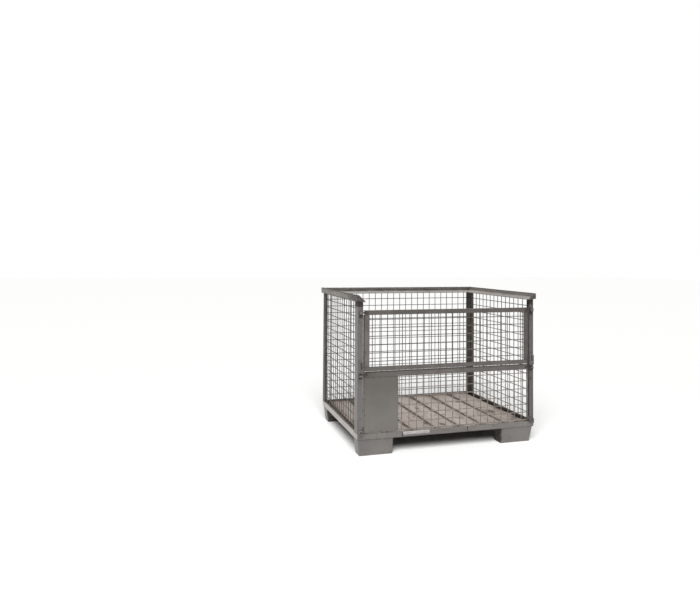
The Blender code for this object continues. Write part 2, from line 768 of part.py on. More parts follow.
def build_flap_fittings(parent, level, pivot_z, latch_z, tab_low):
    """Add a flap's two ears and its two latch pins."""
    axis = Vector((0, PIVOT_Y, pivot_z))
    for side, word in ((-1, "left"), (1, "right")):
        plate = ear(side, pivot_z, tab_low)
        add_piece(level + "_ear_" + word, plate, "flap_steel", parent, axis, math.radians(35))
        ends = (side * (FLAP_HALF - LATCH_PIN_INBOARD), side * PIN_OUTER_END)
        pin = cylinder_x(PIN_RADIUS, PIN_SIDES, ends, PIVOT_Y, latch_z)
        name = level + "_latch_pin_" + word
        add_piece(name, pin, "bare_steel", parent, axis, math.radians(40))


def build_upper_flap(parent):
    """Add the upper flap: angle frame, wire mat, ears and latch pins."""
    axis = Vector((0, PIVOT_Y, UPPER_PIVOT_Z))
    top_bar = flap_bar(UPPER_TOP, UPPER_TOP_BAR, True)
    bottom_bar = flap_bar(UPPER_BOTTOM + UPPER_BOTTOM_BAR, UPPER_BOTTOM_BAR, False)
    add_piece("upper_top_bar", top_bar, "flap_steel", parent, axis)
    add_piece("upper_bottom_bar", bottom_bar, "flap_steel", parent, axis)
    wall = FLAP_WALL
    section = [(0, 0), (UPPER_STILE, 0), (UPPER_STILE, wall), (wall, wall)]
    section += [(wall, FLAP_BAR_DEPTH), (0, FLAP_BAR_DEPTH)]
    section = fillet(section, (FLAP_HEEL, 0, FLAP_TOE, FLAP_ROOT, FLAP_TOE, 0), 2)
    low = UPPER_BOTTOM + UPPER_BOTTOM_BAR + SEAT
    high = UPPER_TOP - UPPER_TOP_BAR - SEAT
    for side, word in ((-1, "left"), (1, "right")):
        ring = [(side * (FLAP_HALF - x), -POST_Y + y, low) for x, y in section]
        stile = prism(ring, (0, 0, high - low))
        add_piece("upper_stile_" + word, stile, "flap_steel", parent, axis)
    inset = FLAP_WALL + FLAP_ROOT
    mat = flap_mat(FLAP_HALF - inset, UPPER_BOTTOM + inset, UPPER_TOP - inset, FLAP_MAT_EDGE)
    add_piece("upper_mesh", mat, "wire_steel", parent, axis, math.radians(65))
    tab_low = UPPER_BOTTOM + FLAP_WALL
    build_flap_fittings(parent, "upper", UPPER_PIVOT_Z, UPPER_LATCH_Z, tab_low)


def build_lower_flap(parent):
    """Add the lower flap: top bar, wire mat, bare plate, ears and latch pins."""
    axis = Vector((0, PIVOT_Y, LOWER_PIVOT_Z))
    top_bar = flap_bar(LOWER_TOP, LOWER_TOP_BAR, True)
    add_piece("lower_top_bar", top_bar, "flap_steel", parent, axis)
    mat = flap_mat(FLAP_HALF, LOWER_BOTTOM, LOWER_TOP - FLAP_WALL - FLAP_ROOT, LOWER_MAT_EDGE)
    add_piece("lower_mesh", mat, "wire_steel", parent, axis, math.radians(65))
    left = -FLAP_HALF + PLATE_INSET
    right = left + PLATE_WIDTH
    top = LOWER_TOP - LOWER_TOP_BAR - PLATE_TOP_GAP
    corners = [(left, LOWER_BOTTOM), (right, LOWER_BOTTOM), (right, top), (left, top)]
    outline = fillet(corners, [PLATE_CORNER] * 4)
    plate = prism([(p.x, FLAP_MAT_FRONT - SEAT, p.y) for p in outline], (0, -PLATE_THICKNESS, 0))
    add_piece("document_plate", plate, "painted_steel", parent, axis)
    build_flap_fittings(parent, "lower", LOWER_PIVOT_Z, LOWER_LATCH_Z, LOWER_BOTTOM)


def main():
    """Build the box pallet, sub-assembly by sub-assembly."""
    clear_scene()
    frame = group_empty("frame", Vector((0, 0, 0)))
    build_feet(frame)
    build_base(frame)
    build_floor(frame)
    build_posts(frame)
    build_rim(frame)
    build_wall_mats(frame)
    build_post_fittings(frame)
    upper_axis = group_empty("upper_swing_axis", Vector((0, PIVOT_Y, UPPER_PIVOT_Z)))
    build_pivot_pins(upper_axis, "upper", UPPER_PIVOT_Z)
    build_upper_flap(upper_axis)
    lower_axis = group_empty("lower_swing_axis", Vector((0, PIVOT_Y, LOWER_PIVOT_Z)))
    build_pivot_pins(lower_axis, "lower", LOWER_PIVOT_Z)
    build_lower_flap(lower_axis)


main()
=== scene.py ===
"""Looks of a steel mesh box pallet: painted steel, welded wire and worn softwood boards.

Metres, +Z up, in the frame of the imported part. Every piece takes its place from a node of
the frame, so the dressed pallet keeps the sizes of the solids. The front with the two
flaps faces -Y.
"""

from __future__ import annotations

import logging
import math
from collections.abc import Callable, Sequence
from dataclasses import dataclass, replace
from enum import Enum

import bpy
import numpy as np
from mathutils import Matrix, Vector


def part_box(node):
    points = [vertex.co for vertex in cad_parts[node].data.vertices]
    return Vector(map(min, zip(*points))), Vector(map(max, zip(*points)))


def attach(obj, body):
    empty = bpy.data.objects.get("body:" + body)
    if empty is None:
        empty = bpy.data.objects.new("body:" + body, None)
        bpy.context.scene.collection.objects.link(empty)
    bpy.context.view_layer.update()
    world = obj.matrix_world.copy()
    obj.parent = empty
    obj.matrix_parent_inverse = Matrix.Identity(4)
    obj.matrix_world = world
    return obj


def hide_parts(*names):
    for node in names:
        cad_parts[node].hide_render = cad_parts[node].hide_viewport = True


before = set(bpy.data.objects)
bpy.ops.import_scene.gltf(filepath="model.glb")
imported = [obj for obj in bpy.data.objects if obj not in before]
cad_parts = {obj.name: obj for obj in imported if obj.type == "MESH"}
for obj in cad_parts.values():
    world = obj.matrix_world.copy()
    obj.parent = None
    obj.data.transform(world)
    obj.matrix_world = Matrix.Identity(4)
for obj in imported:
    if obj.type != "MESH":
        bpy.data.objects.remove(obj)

LOG = logging.getLogger("box_pallet")
Array = np.ndarray
Cut = Callable[[Array], Array]

X_AXIS = np.array([1.0, 0.0, 0.0])
Y_AXIS = np.array([0.0, 1.0, 0.0])
Z_AXIS = np.array([0.0, 0.0, 1.0])


class Slot(Enum):
    """Material slots of the record."""

    PAINTED = "painted_steel"
    RIM = "rim_steel"
    WIRE = "wire_steel"
    FLAP = "flap_steel"
    BARE = "bare_steel"
    BOARD = "floor_board"


class Body(Enum):
    """Moving bodies of the record."""

    FRAME = "frame"
    UPPER_PINS = "upper_pins"
    UPPER_FLAP = "upper_flap"
    LOWER_PINS = "lower_pins"
    LOWER_FLAP = "lower_flap"


class Named(Enum):
    """A choice whose name, in small letters, stands in the names of nodes."""

    @property
    def word(self) -> str:
        """Return the name in small letters."""
        return self.name.lower()


class Side(Named):
    """Left or right of the pallet, seen from the flaps; the value points outwards along X."""

    LEFT = -1
    RIGHT = 1


class Depth(Named):
    """Front, where the flaps hang, or back; the value points outwards along Y."""

    FRONT = -1
    BACK = 1


class Level(Named):
    """The upper or the lower flap; the value is its body and the body of its pivot pins."""

    UPPER = (Body.UPPER_FLAP, Body.UPPER_PINS)
    LOWER = (Body.LOWER_FLAP, Body.LOWER_PINS)

    @property
    def flap(self) -> Body:
        """Return the body of the flap."""
        return self.value[0]

    @property
    def pins(self) -> Body:
        """Return the body of the pivot pins, which slide in the guides."""
        return self.value[1]


class Wall(Named):
    """A side of the box; the value is the way along it and the way into the box."""

    FRONT = ((1.0, 0.0, 0.0), (0.0, 1.0, 0.0))
    BACK = ((1.0, 0.0, 0.0), (0.0, -1.0, 0.0))
    LEFT = ((0.0, 1.0, 0.0), (1.0, 0.0, 0.0))
    RIGHT = ((0.0, 1.0, 0.0), (-1.0, 0.0, 0.0))

    @property
    def along(self) -> Array:
        """Return the unit vector along the wall."""
        return np.array(self.value[0])

    @property
    def inwards(self) -> Array:
        """Return the unit vector from the wall into the box."""
        return np.array(self.value[1])


@dataclass(frozen=True)
class Corner:
    """A corner of the pallet, with a foot and a post."""

    depth: Depth
    side: Side

    @property
    def word(self) -> str:
        """Return the corner as it stands in the names of nodes."""
        return f"{self.depth.word}_{self.side.word}"

    def outermost(self, low: Array, high: Array) -> Array:
        """Return the lower corner of a box that lies furthest out at this corner."""
        return np.where([self.side.value > 0, self.depth.value > 0, False], high, low)


CORNERS = tuple(Corner(depth, side) for depth in Depth for side in Side)


class Mask(Enum):
    """What a layer of a finish gathers on."""

    ANYWHERE = "anywhere"
    EDGES = "wear"
    CORNERS = "grime"
    TOPS = "tops"


@dataclass(frozen=True)
class Surface:
    """A closed mesh as whole arrays.

    points is (n, 3) and quads is (m, 4). caps holds flat end faces as rows of point
    numbers. wear is 1 on a rubbed edge and where a painted highlight or
    painted shade lies along an edge; grime is 1 where dirt and painted shade darken
    a corner or a place in shade.
    """

    points: Array
    quads: Array
    caps: tuple[Array, ...]
    wear: Array
    grime: Array


def unit(rows: Array) -> Array:
    """Return rows of vectors, each scaled to length 1."""
    return rows / np.linalg.norm(rows, axis=-1, keepdims=True)


def cross_flat(first: Array, second: Array) -> Array:
    """Return the Z part of the cross product of flat vectors."""
    return first[..., 0] * second[..., 1] - first[..., 1] * second[..., 0]


def outward(surface: Surface) -> Surface:
    """Turn a closed surface so that its faces point outwards.

    The volume is a sixth of the sum of the triple products of the triangles' corners; it
    is negative where the faces point inwards, and then every face is reversed.

    Args:
        surface: A closed surface whose faces agree with each other.

    Returns:
        The same surface, facing outwards.
    """
    fans = [surface.quads[:, [0, 1, 2]], surface.quads[:, [0, 2, 3]]]
    for cap in surface.caps:
        rest = np.stack([cap[1:-1], cap[2:]], axis=1)
        fans.append(np.column_stack([np.full(len(rest), cap[0]), rest]))
    corners = surface.points[np.concatenate(fans)]
    volume = np.einsum("ij,ij->", corners[:, 0], np.cross(corners[:, 1], corners[:, 2]))
    if volume >= 0:
        return surface
    caps = tuple(cap[::-1] for cap in surface.caps)
    return replace(surface, quads=surface.quads[:, ::-1], caps=caps)


def joined(parts: Sequence[Surface]) -> Surface:
    """Put several closed surfaces into one, each with its own points.

    Args:
        parts: The surfaces.

    Returns:
        One surface that holds them all.
    """
    starts = np.concatenate([[0], np.cumsum([len(part.points) for part in parts])])
    quads = [part.quads + start for part, start in zip(parts, starts)]
    caps = tuple(cap + start for part, start in zip(parts, starts) for cap in part.caps)
    return Surface(
        np.concatenate([part.points for part in parts]),
        np.concatenate(quads),
        caps,
        np.concatenate([part.wear for part in parts]),
        np.concatenate([part.grime for part in parts]),
    )


def loft(rings: Array, wear: Array | None = None, grime: Array | None = None,
         closed: bool = False) -> Surface:
    """Join rings of points into one skin.

    Point (i, j) of the grid is joined to (i, j + 1) round its ring and to (i + 1, j) on
    the next ring. The two end rings are filled, unless the last ring joins the first.

    Args:
        rings: Points as (rings, points in a ring, 3).
        wear: Edge wear and painted light of each point, or None for none.
        grime: Dirt and painted shade of each point, or None for none.
        closed: Whether the last ring joins the first one.

    Returns:
        The skin, facing outwards.
    """
    count, size = rings.shape[:2]
    number = np.arange(count * size).reshape(count, size)
    after = np.roll(number, -1, axis=1)
    upper = np.roll(number, -1, axis=0)
    upper_after = np.roll(after, -1, axis=0)
    quads = np.stack([number, after, upper_after, upper], axis=-1)
    if not closed:
        quads = quads[:-1]
    caps = () if closed else (number[0][::-1], number[-1])
    blank = np.zeros(count * size)
    return outward(Surface(
        rings.reshape(-1, 3),
        quads.reshape(-1, 4),
        caps,
        blank if wear is None else np.broadcast_to(wear, (count, size)).reshape(-1),
        blank if grime is None else np.broadcast_to(grime, (count, size)).reshape(-1),
    ))


@dataclass(frozen=True)
class Outline:
    """A closed flat outline with a round at each corner.

    corners are (x, y) in order, radii has one radius for each, and arc is the number of
    points on a round. margin is how far edge wear reaches from a round.
    """

    corners: tuple[tuple[float, float], ...]
    radii: tuple[float, ...]
    arc: int = 4
    margin: float = 0.0025

    def _turns(self) -> tuple[Array, Array, Array, Array, Array]:
        """Work out how the outline turns at each corner.

        The inward way of a convex corner halves it. A straight corner has none to halve,
        so its way is square to the edge.

        Returns:
            The corners, the ways back and ahead, the inward ways and 1 where convex.
        """
        corner = np.array(self.corners)
        back = unit(np.roll(corner, 1, axis=0) - corner)
        ahead = unit(np.roll(corner, -1, axis=0) - corner)
        spin = np.sign(cross_flat(corner, np.roll(corner, -1, axis=0)).sum())
        square = spin * np.stack([-ahead[:, 1], ahead[:, 0]], axis=1)
        straight = np.linalg.norm(back + ahead, axis=1) < 1e-6
        halving = unit(np.where(straight[:, None], square, back + ahead))
        convex = np.where(straight, 1.0, np.sign(cross_flat(-back, ahead)) * spin)
        return corner, back, ahead, halving, convex

    def ring(self, inset: float = 0.0) -> Array:
        """Return the outline's points, drawn in by `inset`.

        A corner moves along its bisector by inset / sin(half its angle). Its round is
        centred radius / sin(half) further on and swept from one tangent point to the
        other, and a point before and after each round keeps wear near the edge.

        Args:
            inset: How far the outline is drawn in.

        Returns:
            Points as (n, 2), arc + 2 of them for each corner.
        """
        corner, back, ahead, bisector, convex = self._turns()
        half = np.arccos(np.clip((back * ahead).sum(axis=1), -1, 1)) / 2
        corner = corner + bisector * (convex * inset / np.sin(half))[:, None]
        radius = np.maximum(np.array(self.radii) - convex * inset, 2e-5)
        tangent = radius / np.tan(half)
        centre = corner + bisector * (radius / np.sin(half))[:, None]
        start = corner + back * tangent[:, None] - centre
        end = corner + ahead * tangent[:, None] - centre
        first = np.arctan2(start[:, 1], start[:, 0])
        sweep = np.arctan2(cross_flat(start, end), (start * end).sum(axis=1))
        angle = first[:, None] + sweep[:, None] * np.linspace(0, 1, self.arc)
        arc = np.stack([np.cos(angle), np.sin(angle)], axis=-1) * radius[:, None, None]
        edge = np.linalg.norm(np.roll(corner, -1, axis=0) - corner, axis=1)
        free = edge - tangent - np.roll(tangent, -1)
        reach = np.minimum(self.margin, 0.35 * np.maximum(free, 1e-5))
        before = corner + back * (tangent + np.roll(reach, 1))[:, None]
        after = corner + ahead * (tangent + reach)[:, None]
        rows = [before[:, None], centre[:, None] + arc, after[:, None]]
        return np.concatenate(rows, axis=1).reshape(-1, 2)

    def marks(self) -> tuple[Array, Array]:
        """Mark the rounds of the ring.

        Returns:
            Wear, which is 1 on convex rounds, and grime, which is 1 on concave
            ones, for dirt and painted shade.
        """
        convex = self._turns()[4]
        on_round = np.concatenate([[0.0], np.ones(self.arc), [0.0]])
        wear = (convex[:, None] > 0) * on_round
        grime = (convex[:, None] < 0) * np.ones(self.arc + 2)
        return wear.reshape(-1), grime.reshape(-1)


@dataclass(frozen=True)
class Placement:
    """Where a flat outline lies: x runs along `across`, y along `up`, carried along `along`."""

    origin: Array
    across: Array
    up: Array
    along: Array

    def at(self, ring: Array, reach: Array) -> Array:
        """Return the ring's points at a reach along the way: origin + x + y + reach."""
        flat = self.origin + ring[..., :1] * self.across + ring[..., 1:] * self.up
        return flat + reach[..., None] * self.along

    def rings(self, steps: Sequence[tuple[Outline, float, float]]) -> Array:
        """Return rings of outlines for a loft, each drawn in and set at its reach.

        Args:
            steps: For each ring its outline, how far it is drawn in and its reach.

        Returns:
            Points as (rings, points in a ring, 3).
        """
        flats = [(outline.ring(inset), reach) for outline, inset, reach in steps]
        return np.array([self.at(flat, np.full(len(flat), reach)) for flat, reach in flats])


def bar(outline: Outline, place: Placement, length: float, edge: float = 0.0006,
        steps: int = 1, start: Cut | None = None, end: Cut | None = None) -> Surface:
    """Carry an outline along a straight line, with rounded ends.

    The outline is drawn in by edge * (1 - sin a) at edge * (1 - cos a) from each end, for
    a from 0 to a right angle, and runs straight between.

    Args:
        outline: The bar's section.
        place: Where the section lies and which way it is carried.
        length: Length of the bar.
        edge: Radius of the round at both ends.
        steps: Stretches between the ends.
        start: Where each point of the section starts, for a slanted cut; 0 if None.
        end: Where each point of the section ends; the length if None.

    Returns:
        The bar as a closed surface.
    """
    turn = np.linspace(0, math.pi / 2, 4)
    inset = edge * (1 - np.sin(turn))
    reach = edge * (1 - np.cos(turn))
    rings = [outline.ring(float(amount)) for amount in inset]
    full = rings[-1]
    from_there = (lambda ring: np.zeros(len(ring))) if start is None else start
    to_there = (lambda ring: np.full(len(ring), length)) if end is None else end
    rows = [place.at(ring, from_there(ring) + far) for ring, far in zip(rings, reach)]
    rub = [1.0] * len(rings)
    margin = min(outline.margin, 0.2 * length)
    shares = np.linspace(0, 1, steps + 1)[1:-1]
    near, far = from_there(full), to_there(full)
    rows.append(place.at(full, near + edge + margin))
    rows += [place.at(full, near + (far - near) * share) for share in shares]
    rows.append(place.at(full, far - edge - margin))
    rub += [0.0] * (steps + 1)
    rows += [
        place.at(ring, to_there(ring) - back) for ring, back in zip(rings[::-1], reach[::-1])
    ]
    rub += [1.0] * len(rings)
    wear, grime = outline.marks()
    return loft(np.array(rows), np.maximum(wear[None], np.array(rub)[:, None]), grime)


def circle(first: Array, second: Array, sides: int) -> Array:
    """Return spokes of length 1: cos a * first + sin a * second, with a going once round.

    Args:
        first: Unit vector, or one for each place, (..., 3).
        second: Unit vector square to `first`, or one for each place.
        sides: Number of spokes.

    Returns:
        Spokes as (..., sides, 3).
    """
    angle = np.linspace(0, 2 * math.pi, sides, endpoint=False)[:, None]
    return np.cos(angle) * first[..., None, :] + np.sin(angle) * second[..., None, :]


def rods(starts: Array, ends: Array, first: Array, second: Array, radius: float,
         sides: int, stations: int) -> Surface:
    """Return straight round rods as one surface.

    Point (i, s, k) lies on the way from start i to end i at share s, and a radius off it
    along spoke k.

    Args:
        starts: One end of each rod, (n, 3).
        ends: The other end of each rod, (n, 3).
        first: A unit vector across the rods.
        second: The unit vector across the rods and across `first`.
        radius: Radius of the rods.
        sides: Sides of the round.
        stations: Rings along each rod.

    Returns:
        The rods, facing outwards.
    """
    share = np.linspace(0, 1, stations)[None, :, None]
    line = starts[:, None] + (ends - starts)[:, None] * share
    points = line[:, :, None] + radius * circle(first, second, sides)
    return joined([loft(rod) for rod in points])


def turned(profile: Array, origin: Array, axis: Array, first: Array, sides: int) -> Surface:
    """Turn a profile of (radius, reach) round an axis.

    Point (i, k) is origin + reach_i * axis + radius_i * spoke_k.

    Args:
        profile: Rows of (radius, reach along the axis); the ends are closed by flat faces.
        origin: A point on the axis.
        axis: Unit vector of the axis.
        first: Unit vector across the axis.
        sides: Sides of the round.

    Returns:
        The turned piece, facing outwards.
    """
    spokes = circle(first, np.cross(axis, first), sides)
    return loft(origin + profile[:, 1, None, None] * axis + profile[:, 0, None, None] * spokes)


def bead(path: Array, radius: float, ripple: float = 0.003, closed: bool = False) -> Surface:
    """Lay a weld bead along a path: a round skin whose radius swells with each puddle.

    The radius is radius * (1 + 0.16 sin(2 pi s / ripple)) at distance s, and shrinks to a
    fifth at open ends.

    Args:
        path: Corners of the way, (n, 3).
        radius: Radius of the bead.
        ripple: Length of one puddle, which has three rings.
        closed: Whether the path comes back to its start.

    Returns:
        The bead as a closed surface.
    """
    corners = np.vstack([path, path[:1]]) if closed else path
    legs = np.linalg.norm(np.diff(corners, axis=0), axis=1)
    along = np.concatenate([[0], np.cumsum(legs)])
    count = max(8, int(along[-1] / ripple * 3))
    where = np.linspace(0, along[-1], count, endpoint=not closed)
    line = np.stack([np.interp(where, along, corners[:, axis]) for axis in range(3)], axis=1)
    ahead = np.roll(line, -1, axis=0) - np.roll(line, 1, axis=0)
    swell = radius * (1 + 0.16 * np.sin(2 * math.pi * where / ripple))
    if not closed:
        ahead[0] = line[1] - line[0]
        ahead[-1] = line[-1] - line[-2]
        ends = np.minimum(where, along[-1] - where) / (2 * radius)
        swell = swell * (0.2 + 0.8 * np.sqrt(np.clip(ends, 0, 1)))
    ahead = unit(ahead)
    steep = np.abs(ahead[:, 2:]) > 0.8
    first = unit(np.cross(ahead, np.where(steep, X_AXIS, Z_AXIS)))
    spokes = circle(first, np.cross(ahead, first), 8)
    return loft(line[:, None] + swell[:, None, None] * spokes, closed=closed)


def swell_field(points: Array, size: float, height: float, seed: int) -> Array:
    """Return a smooth random height at each point.

    It is the mean of nine sine waves in random directions, with wavelengths between
    0.7 and 1.9 times `size`, scaled to about `height`.

    Args:
        points: Places, (..., d).
        size: Typical width of a swell in metres.
        height: Typical height of a swell in metres.
        seed: Seed of the waves.

    Returns:
        Heights, one for each point.
    """
    source = np.random.default_rng(seed)
    ways = unit(source.normal(size=(9, points.shape[-1])))
    ways = ways * (2 * math.pi / (size * source.uniform(0.7, 1.9, 9)))[:, None]
    return height * np.sin(points @ ways.T + source.uniform(0, 7, 9)).mean(axis=-1) * 2.2


def linear(hex_colour: str) -> tuple[float, float, float, float]:
    """Turn an sRGB colour to linear light: ((c + 0.055) / 1.055) ** 2.4 above 0.04.

    Args:
        hex_colour: The colour as #rrggbb.

    Returns:
        Red, green, blue and an alpha of 1.
    """
    code = np.array([int(hex_colour[place:place + 2], 16) / 255 for place in (1, 3, 5)])
    low = code / 12.92
    high = ((code + 0.055) / 1.055) ** 2.4
    return (*np.where(code > 0.04045, high, low).tolist(), 1.0)


def add_node(tree: bpy.types.NodeTree, kind: str, settings: dict) -> bpy.types.Node:
    """Add a shader node, set its values and link its sockets.

    Args:
        tree: The node tree.
        kind: Node type without its ShaderNode prefix.
        settings: A property's name, or an input's name or number, with its value or the
            socket that feeds it.

    Returns:
        The node.
    """
    node = tree.nodes.new("ShaderNode" + kind)
    for key, value in settings.items():
        if isinstance(value, bpy.types.NodeSocket):
            tree.links.new(value, node.inputs[key])
        elif isinstance(key, str) and key not in node.inputs:
            setattr(node, key, value)
        else:
            node.inputs[key].default_value = value
    return node


@dataclass(frozen=True)
class Patches:
    """One layer of a finish: its colour shows where a noise passes a threshold.

    size_mm is the size of a patch along X, Y and Z, in millimetres. The noise runs from 0
    to 1 round 0.5, and `detail` says how finely it breaks up. The layer begins at `start`
    and is full at `full`, the mask adds `boost` to the noise, and `amount` is its strength.
    It sets the roughness towards `rough` and raises the surface by height_mm.
    """

    colour: str
    size_mm: tuple[float, float, float]
    start: float
    full: float
    amount: float
    rough: float
    height_mm: float = 0.0
    mask: Mask = Mask.ANYWHERE
    boost: float = 0.0
    detail: float = 4.0


@dataclass(frozen=True)
class Finish:
    """A material: a base colour with layers of patches on it.

    name says what it is and how its surface was made, and slot is the slot of the record
    that it stands for. grain_mm and grain_height_mm give the fine texture that is felt all
    over.
    """

    name: str
    colour: str
    roughness: float
    layers: tuple[Patches, ...]
    slot: Slot = Slot.PAINTED
    metallic: float = 0.0
    grain_mm: float = 1.6
    grain_height_mm: float = 0.018

    def build(self) -> bpy.types.Material:
        """Make the material on first use: a fine grain, the layers in order and their bump.

        Returns:
            The material.
        """
        found = bpy.data.materials.get(self.name)
        if found is not None:
            return found
        material = bpy.data.materials.new(self.name)
        material.use_nodes = True
        tree = material.node_tree
        shader = tree.nodes["Principled BSDF"]
        shader.inputs["Metallic"].default_value = self.metallic
        where = add_node(tree, "TexCoord", {}).outputs["Object"]
        grain = add_node(tree, "TexNoise", {
            "Vector": where, "Scale": 1000 / self.grain_mm, "Detail": 3.0}).outputs[0]
        height = add_node(tree, "Math", {
            "operation": "MULTIPLY", 0: grain, 1: self.grain_height_mm}).outputs[0]
        below = (linear(self.colour), self.roughness, height)
        for number, layer in enumerate(self.layers):
            below = self._lay(tree, where, layer, number, below)
        bump = add_node(tree, "Bump", {"Height": below[2], "Strength": 1.0, "Distance": 0.001})
        tree.links.new(below[0], shader.inputs["Base Color"])
        tree.links.new(below[1], shader.inputs["Roughness"])
        tree.links.new(bump.outputs[0], shader.inputs["Normal"])
        material.diffuse_color = linear(self.colour)
        return material

    @staticmethod
    def _lay(tree: bpy.types.NodeTree, where: bpy.types.NodeSocket, layer: Patches,
             number: int, below: tuple) -> tuple:
        """Lay one layer of patches on what is below it.

        Args:
            tree: The material's nodes.
            where: Object coordinates.
            layer: The layer.
            number: Its number, which shifts its pattern from the others'.
            below: Colour, roughness and height in millimetres below it.

        Returns:
            Colour, roughness and height with the layer on them.
        """
        colour, rough, height = below
        scale = tuple(1000 / size for size in layer.size_mm)
        shift = tuple(3.7 * (number + 1) * factor for factor in (1.0, 1.7, 2.3))
        mapped = add_node(tree, "Mapping", {
            "Vector": where, "Scale": scale, "Location": shift}).outputs[0]
        value = add_node(tree, "TexNoise", {
            "Vector": mapped, "Scale": 1.0, "Detail": layer.detail}).outputs[0]
        if layer.mask is Mask.TOPS:
            normal = add_node(tree, "NewGeometry", {}).outputs["Normal"]
            mask = add_node(tree, "SeparateXYZ", {0: normal}).outputs["Z"]
        elif layer.mask is not Mask.ANYWHERE:
            mask = add_node(tree, "Attribute", {"attribute_name": layer.mask.value}).outputs["Fac"]
        if layer.mask is not Mask.ANYWHERE:
            value = add_node(tree, "Math", {
                "operation": "MULTIPLY_ADD", 0: mask, 1: layer.boost, 2: value}).outputs[0]
        share = add_node(tree, "MapRange", {
            "Value": value, "From Min": layer.start, "From Max": layer.full,
            "To Max": layer.amount}).outputs[0]
        colour = add_node(tree, "Mix", {
            "data_type": "RGBA", 0: share, 6: colour, 7: linear(layer.colour)}).outputs[2]
        rough = add_node(tree, "Mix", {
            "data_type": "FLOAT", 0: share, 2: rough, 3: layer.rough}).outputs[0]
        if layer.height_mm:
            height = add_node(tree, "Math", {
                "operation": "MULTIPLY_ADD", 0: share, 1: layer.height_mm, 2: height}).outputs[0]
        return colour, rough, height


def rust(amount: float, size_mm: float = 26) -> Patches:
    """Return scattered spots of rust that bleed through the paint."""
    sizes = (size_mm, size_mm, size_mm * 1.5)
    return Patches("#5a3a26", sizes, 0.64, 0.72, amount, 0.85, 0.05, detail=7)


def streaks(colour: str, amount: float) -> Patches:
    """Return dirt that rain has drawn down the steel."""
    return Patches(colour, (14, 14, 260), 0.46, 0.70, amount, 0.62)


def chips(amount: float, boost: float = 0.20) -> Patches:
    """Return paint knocked off the edges down to dark steel."""
    return Patches("#4d4742", (7, 7, 7), 0.66, 0.72, amount, 0.5, -0.10, Mask.EDGES, boost, 6)


def scratches(colour: str, amount: float) -> Patches:
    """Return long level scratches from pallets and forks that rub past."""
    return Patches(colour, (90, 90, 1.8), 0.66, 0.71, amount, 0.38, -0.03, detail=2)


def dust(colour: str, amount: float) -> Patches:
    """Return dust that settles where the steel faces up."""
    return Patches(colour, (55, 55, 55), 0.95, 1.35, amount, 0.8, mask=Mask.TOPS, boost=0.75)


def grime(colour: str, amount: float) -> Patches:
    """Return dirt and painted shade, in corners and under edges."""
    return Patches(colour, (18, 18, 18), 0.68, 1.0, amount, 0.85, mask=Mask.CORNERS, boost=0.6)


def mud_and_underside_shade(colour: str, amount: float) -> Patches:
    """Return mud and painted shade on what faces down."""
    return Patches(colour, (40, 40, 40), 0.90, 1.10, amount, 0.9, mask=Mask.TOPS, boost=-0.75)


def toned(finish: Finish, name: str, share: float) -> Finish:
    """Return the same finish in a darker or lighter tone: each colour is multiplied by a share.

    Args:
        finish: The finish to change.
        name: Name of the new one.
        share: Share of the light that it throws back, next to the old one.

    Returns:
        The new finish.
    """
    def scaled(hex_colour: str) -> str:
        """Multiply a colour's linear values by the share.

        Args:
            hex_colour: The colour as #rrggbb.

        Returns:
            The new colour as #rrggbb.
        """
        light = np.clip(np.array(linear(hex_colour)[:3]) * share, 0, 1)
        code = np.where(light > 0.0031308, 1.055 * light ** (1 / 2.4) - 0.055, light * 12.92)
        return "#" + "".join(f"{round(float(value) * 255):02x}" for value in code)

    layers = tuple(replace(layer, colour=scaled(layer.colour)) for layer in finish.layers)
    return replace(finish, name=name, colour=scaled(finish.colour), layers=layers)


# What paint gathers outdoors: scratches, dust on top, and dirt and mud, with painted
# shade in corners and on what faces down
RUBBED_DIRTY_AND_SHADED = (
    scratches("#a7a39c", 0.35),
    grime("#372f29", 0.85),
    dust("#a3988a", 0.55),
    mud_and_underside_shade("#2b241e", 0.9),
)

# The same with dark clouds where the paint has dulled, rain streaks and rust
WEATHERED = (
    Patches("#76706c", (120, 120, 160), 0.50, 0.74, 0.6, 0.44),
    streaks("#6a6056", 0.35),
    *RUBBED_DIRTY_AND_SHADED,
    rust(0.55),
)

# Satin stone grey paint, sprayed on rolled steel: fades in clouds, chips at the edges
FRAME_PAINT = Finish("sprayed_frame_paint", "#86827f", 0.46, (
    Patches("#948f8a", (240, 240, 300), 0.42, 0.66, 0.7, 0.52),
    *WEATHERED,
    chips(0.5),
))

# The left rail: the same paint, lighter, as painted light on the side that faces the left
LEFT_LIT_PAINT = toned(FRAME_PAINT, "left_lit_frame_paint", 2.0)

# Posts carry the same grey without its pale clouds
POST_PAINT = Finish("sprayed_post_paint", "#7d797a", 0.45, (*WEATHERED, chips(0.5)))

# Upper guides: the posts' paint, with painted shade along their cut edges and in the slot
GUIDE_PAINT = Finish("sprayed_guide_paint", "#7d797a", 0.45, (
    *WEATHERED,
    Patches("#38322d", (8, 8, 8), 0.66, 1.02, 0.8, 0.7, mask=Mask.EDGES, boost=0.28),
))

# Feet: the frame's paint without streaks or chips, with painted shade inside them and on their
# inner sides
FOOT_PAINT = Finish("sprayed_foot_paint", "#7d7976", 0.46, (
    Patches("#8c8884", (240, 240, 300), 0.42, 0.66, 0.7, 0.52),
    Patches("#75706c", (120, 120, 160), 0.50, 0.74, 0.5, 0.44),
    *RUBBED_DIRTY_AND_SHADED,
    rust(0.3),
))

# The back posts: a darker and duller paint, painted shade for the shade inside the box where they
# stand
SHADED_PAINT = Finish("sprayed_back_post_paint", "#5f5b57", 0.55, (
    Patches("#4c4843", (60, 60, 120), 0.45, 0.62, 0.8, 0.6),
    Patches("#7b766f", (26, 26, 26), 0.60, 0.72, 0.5, 0.5),
    streaks("#3f3831", 0.5),
    rust(0.7),
    chips(0.9),
))

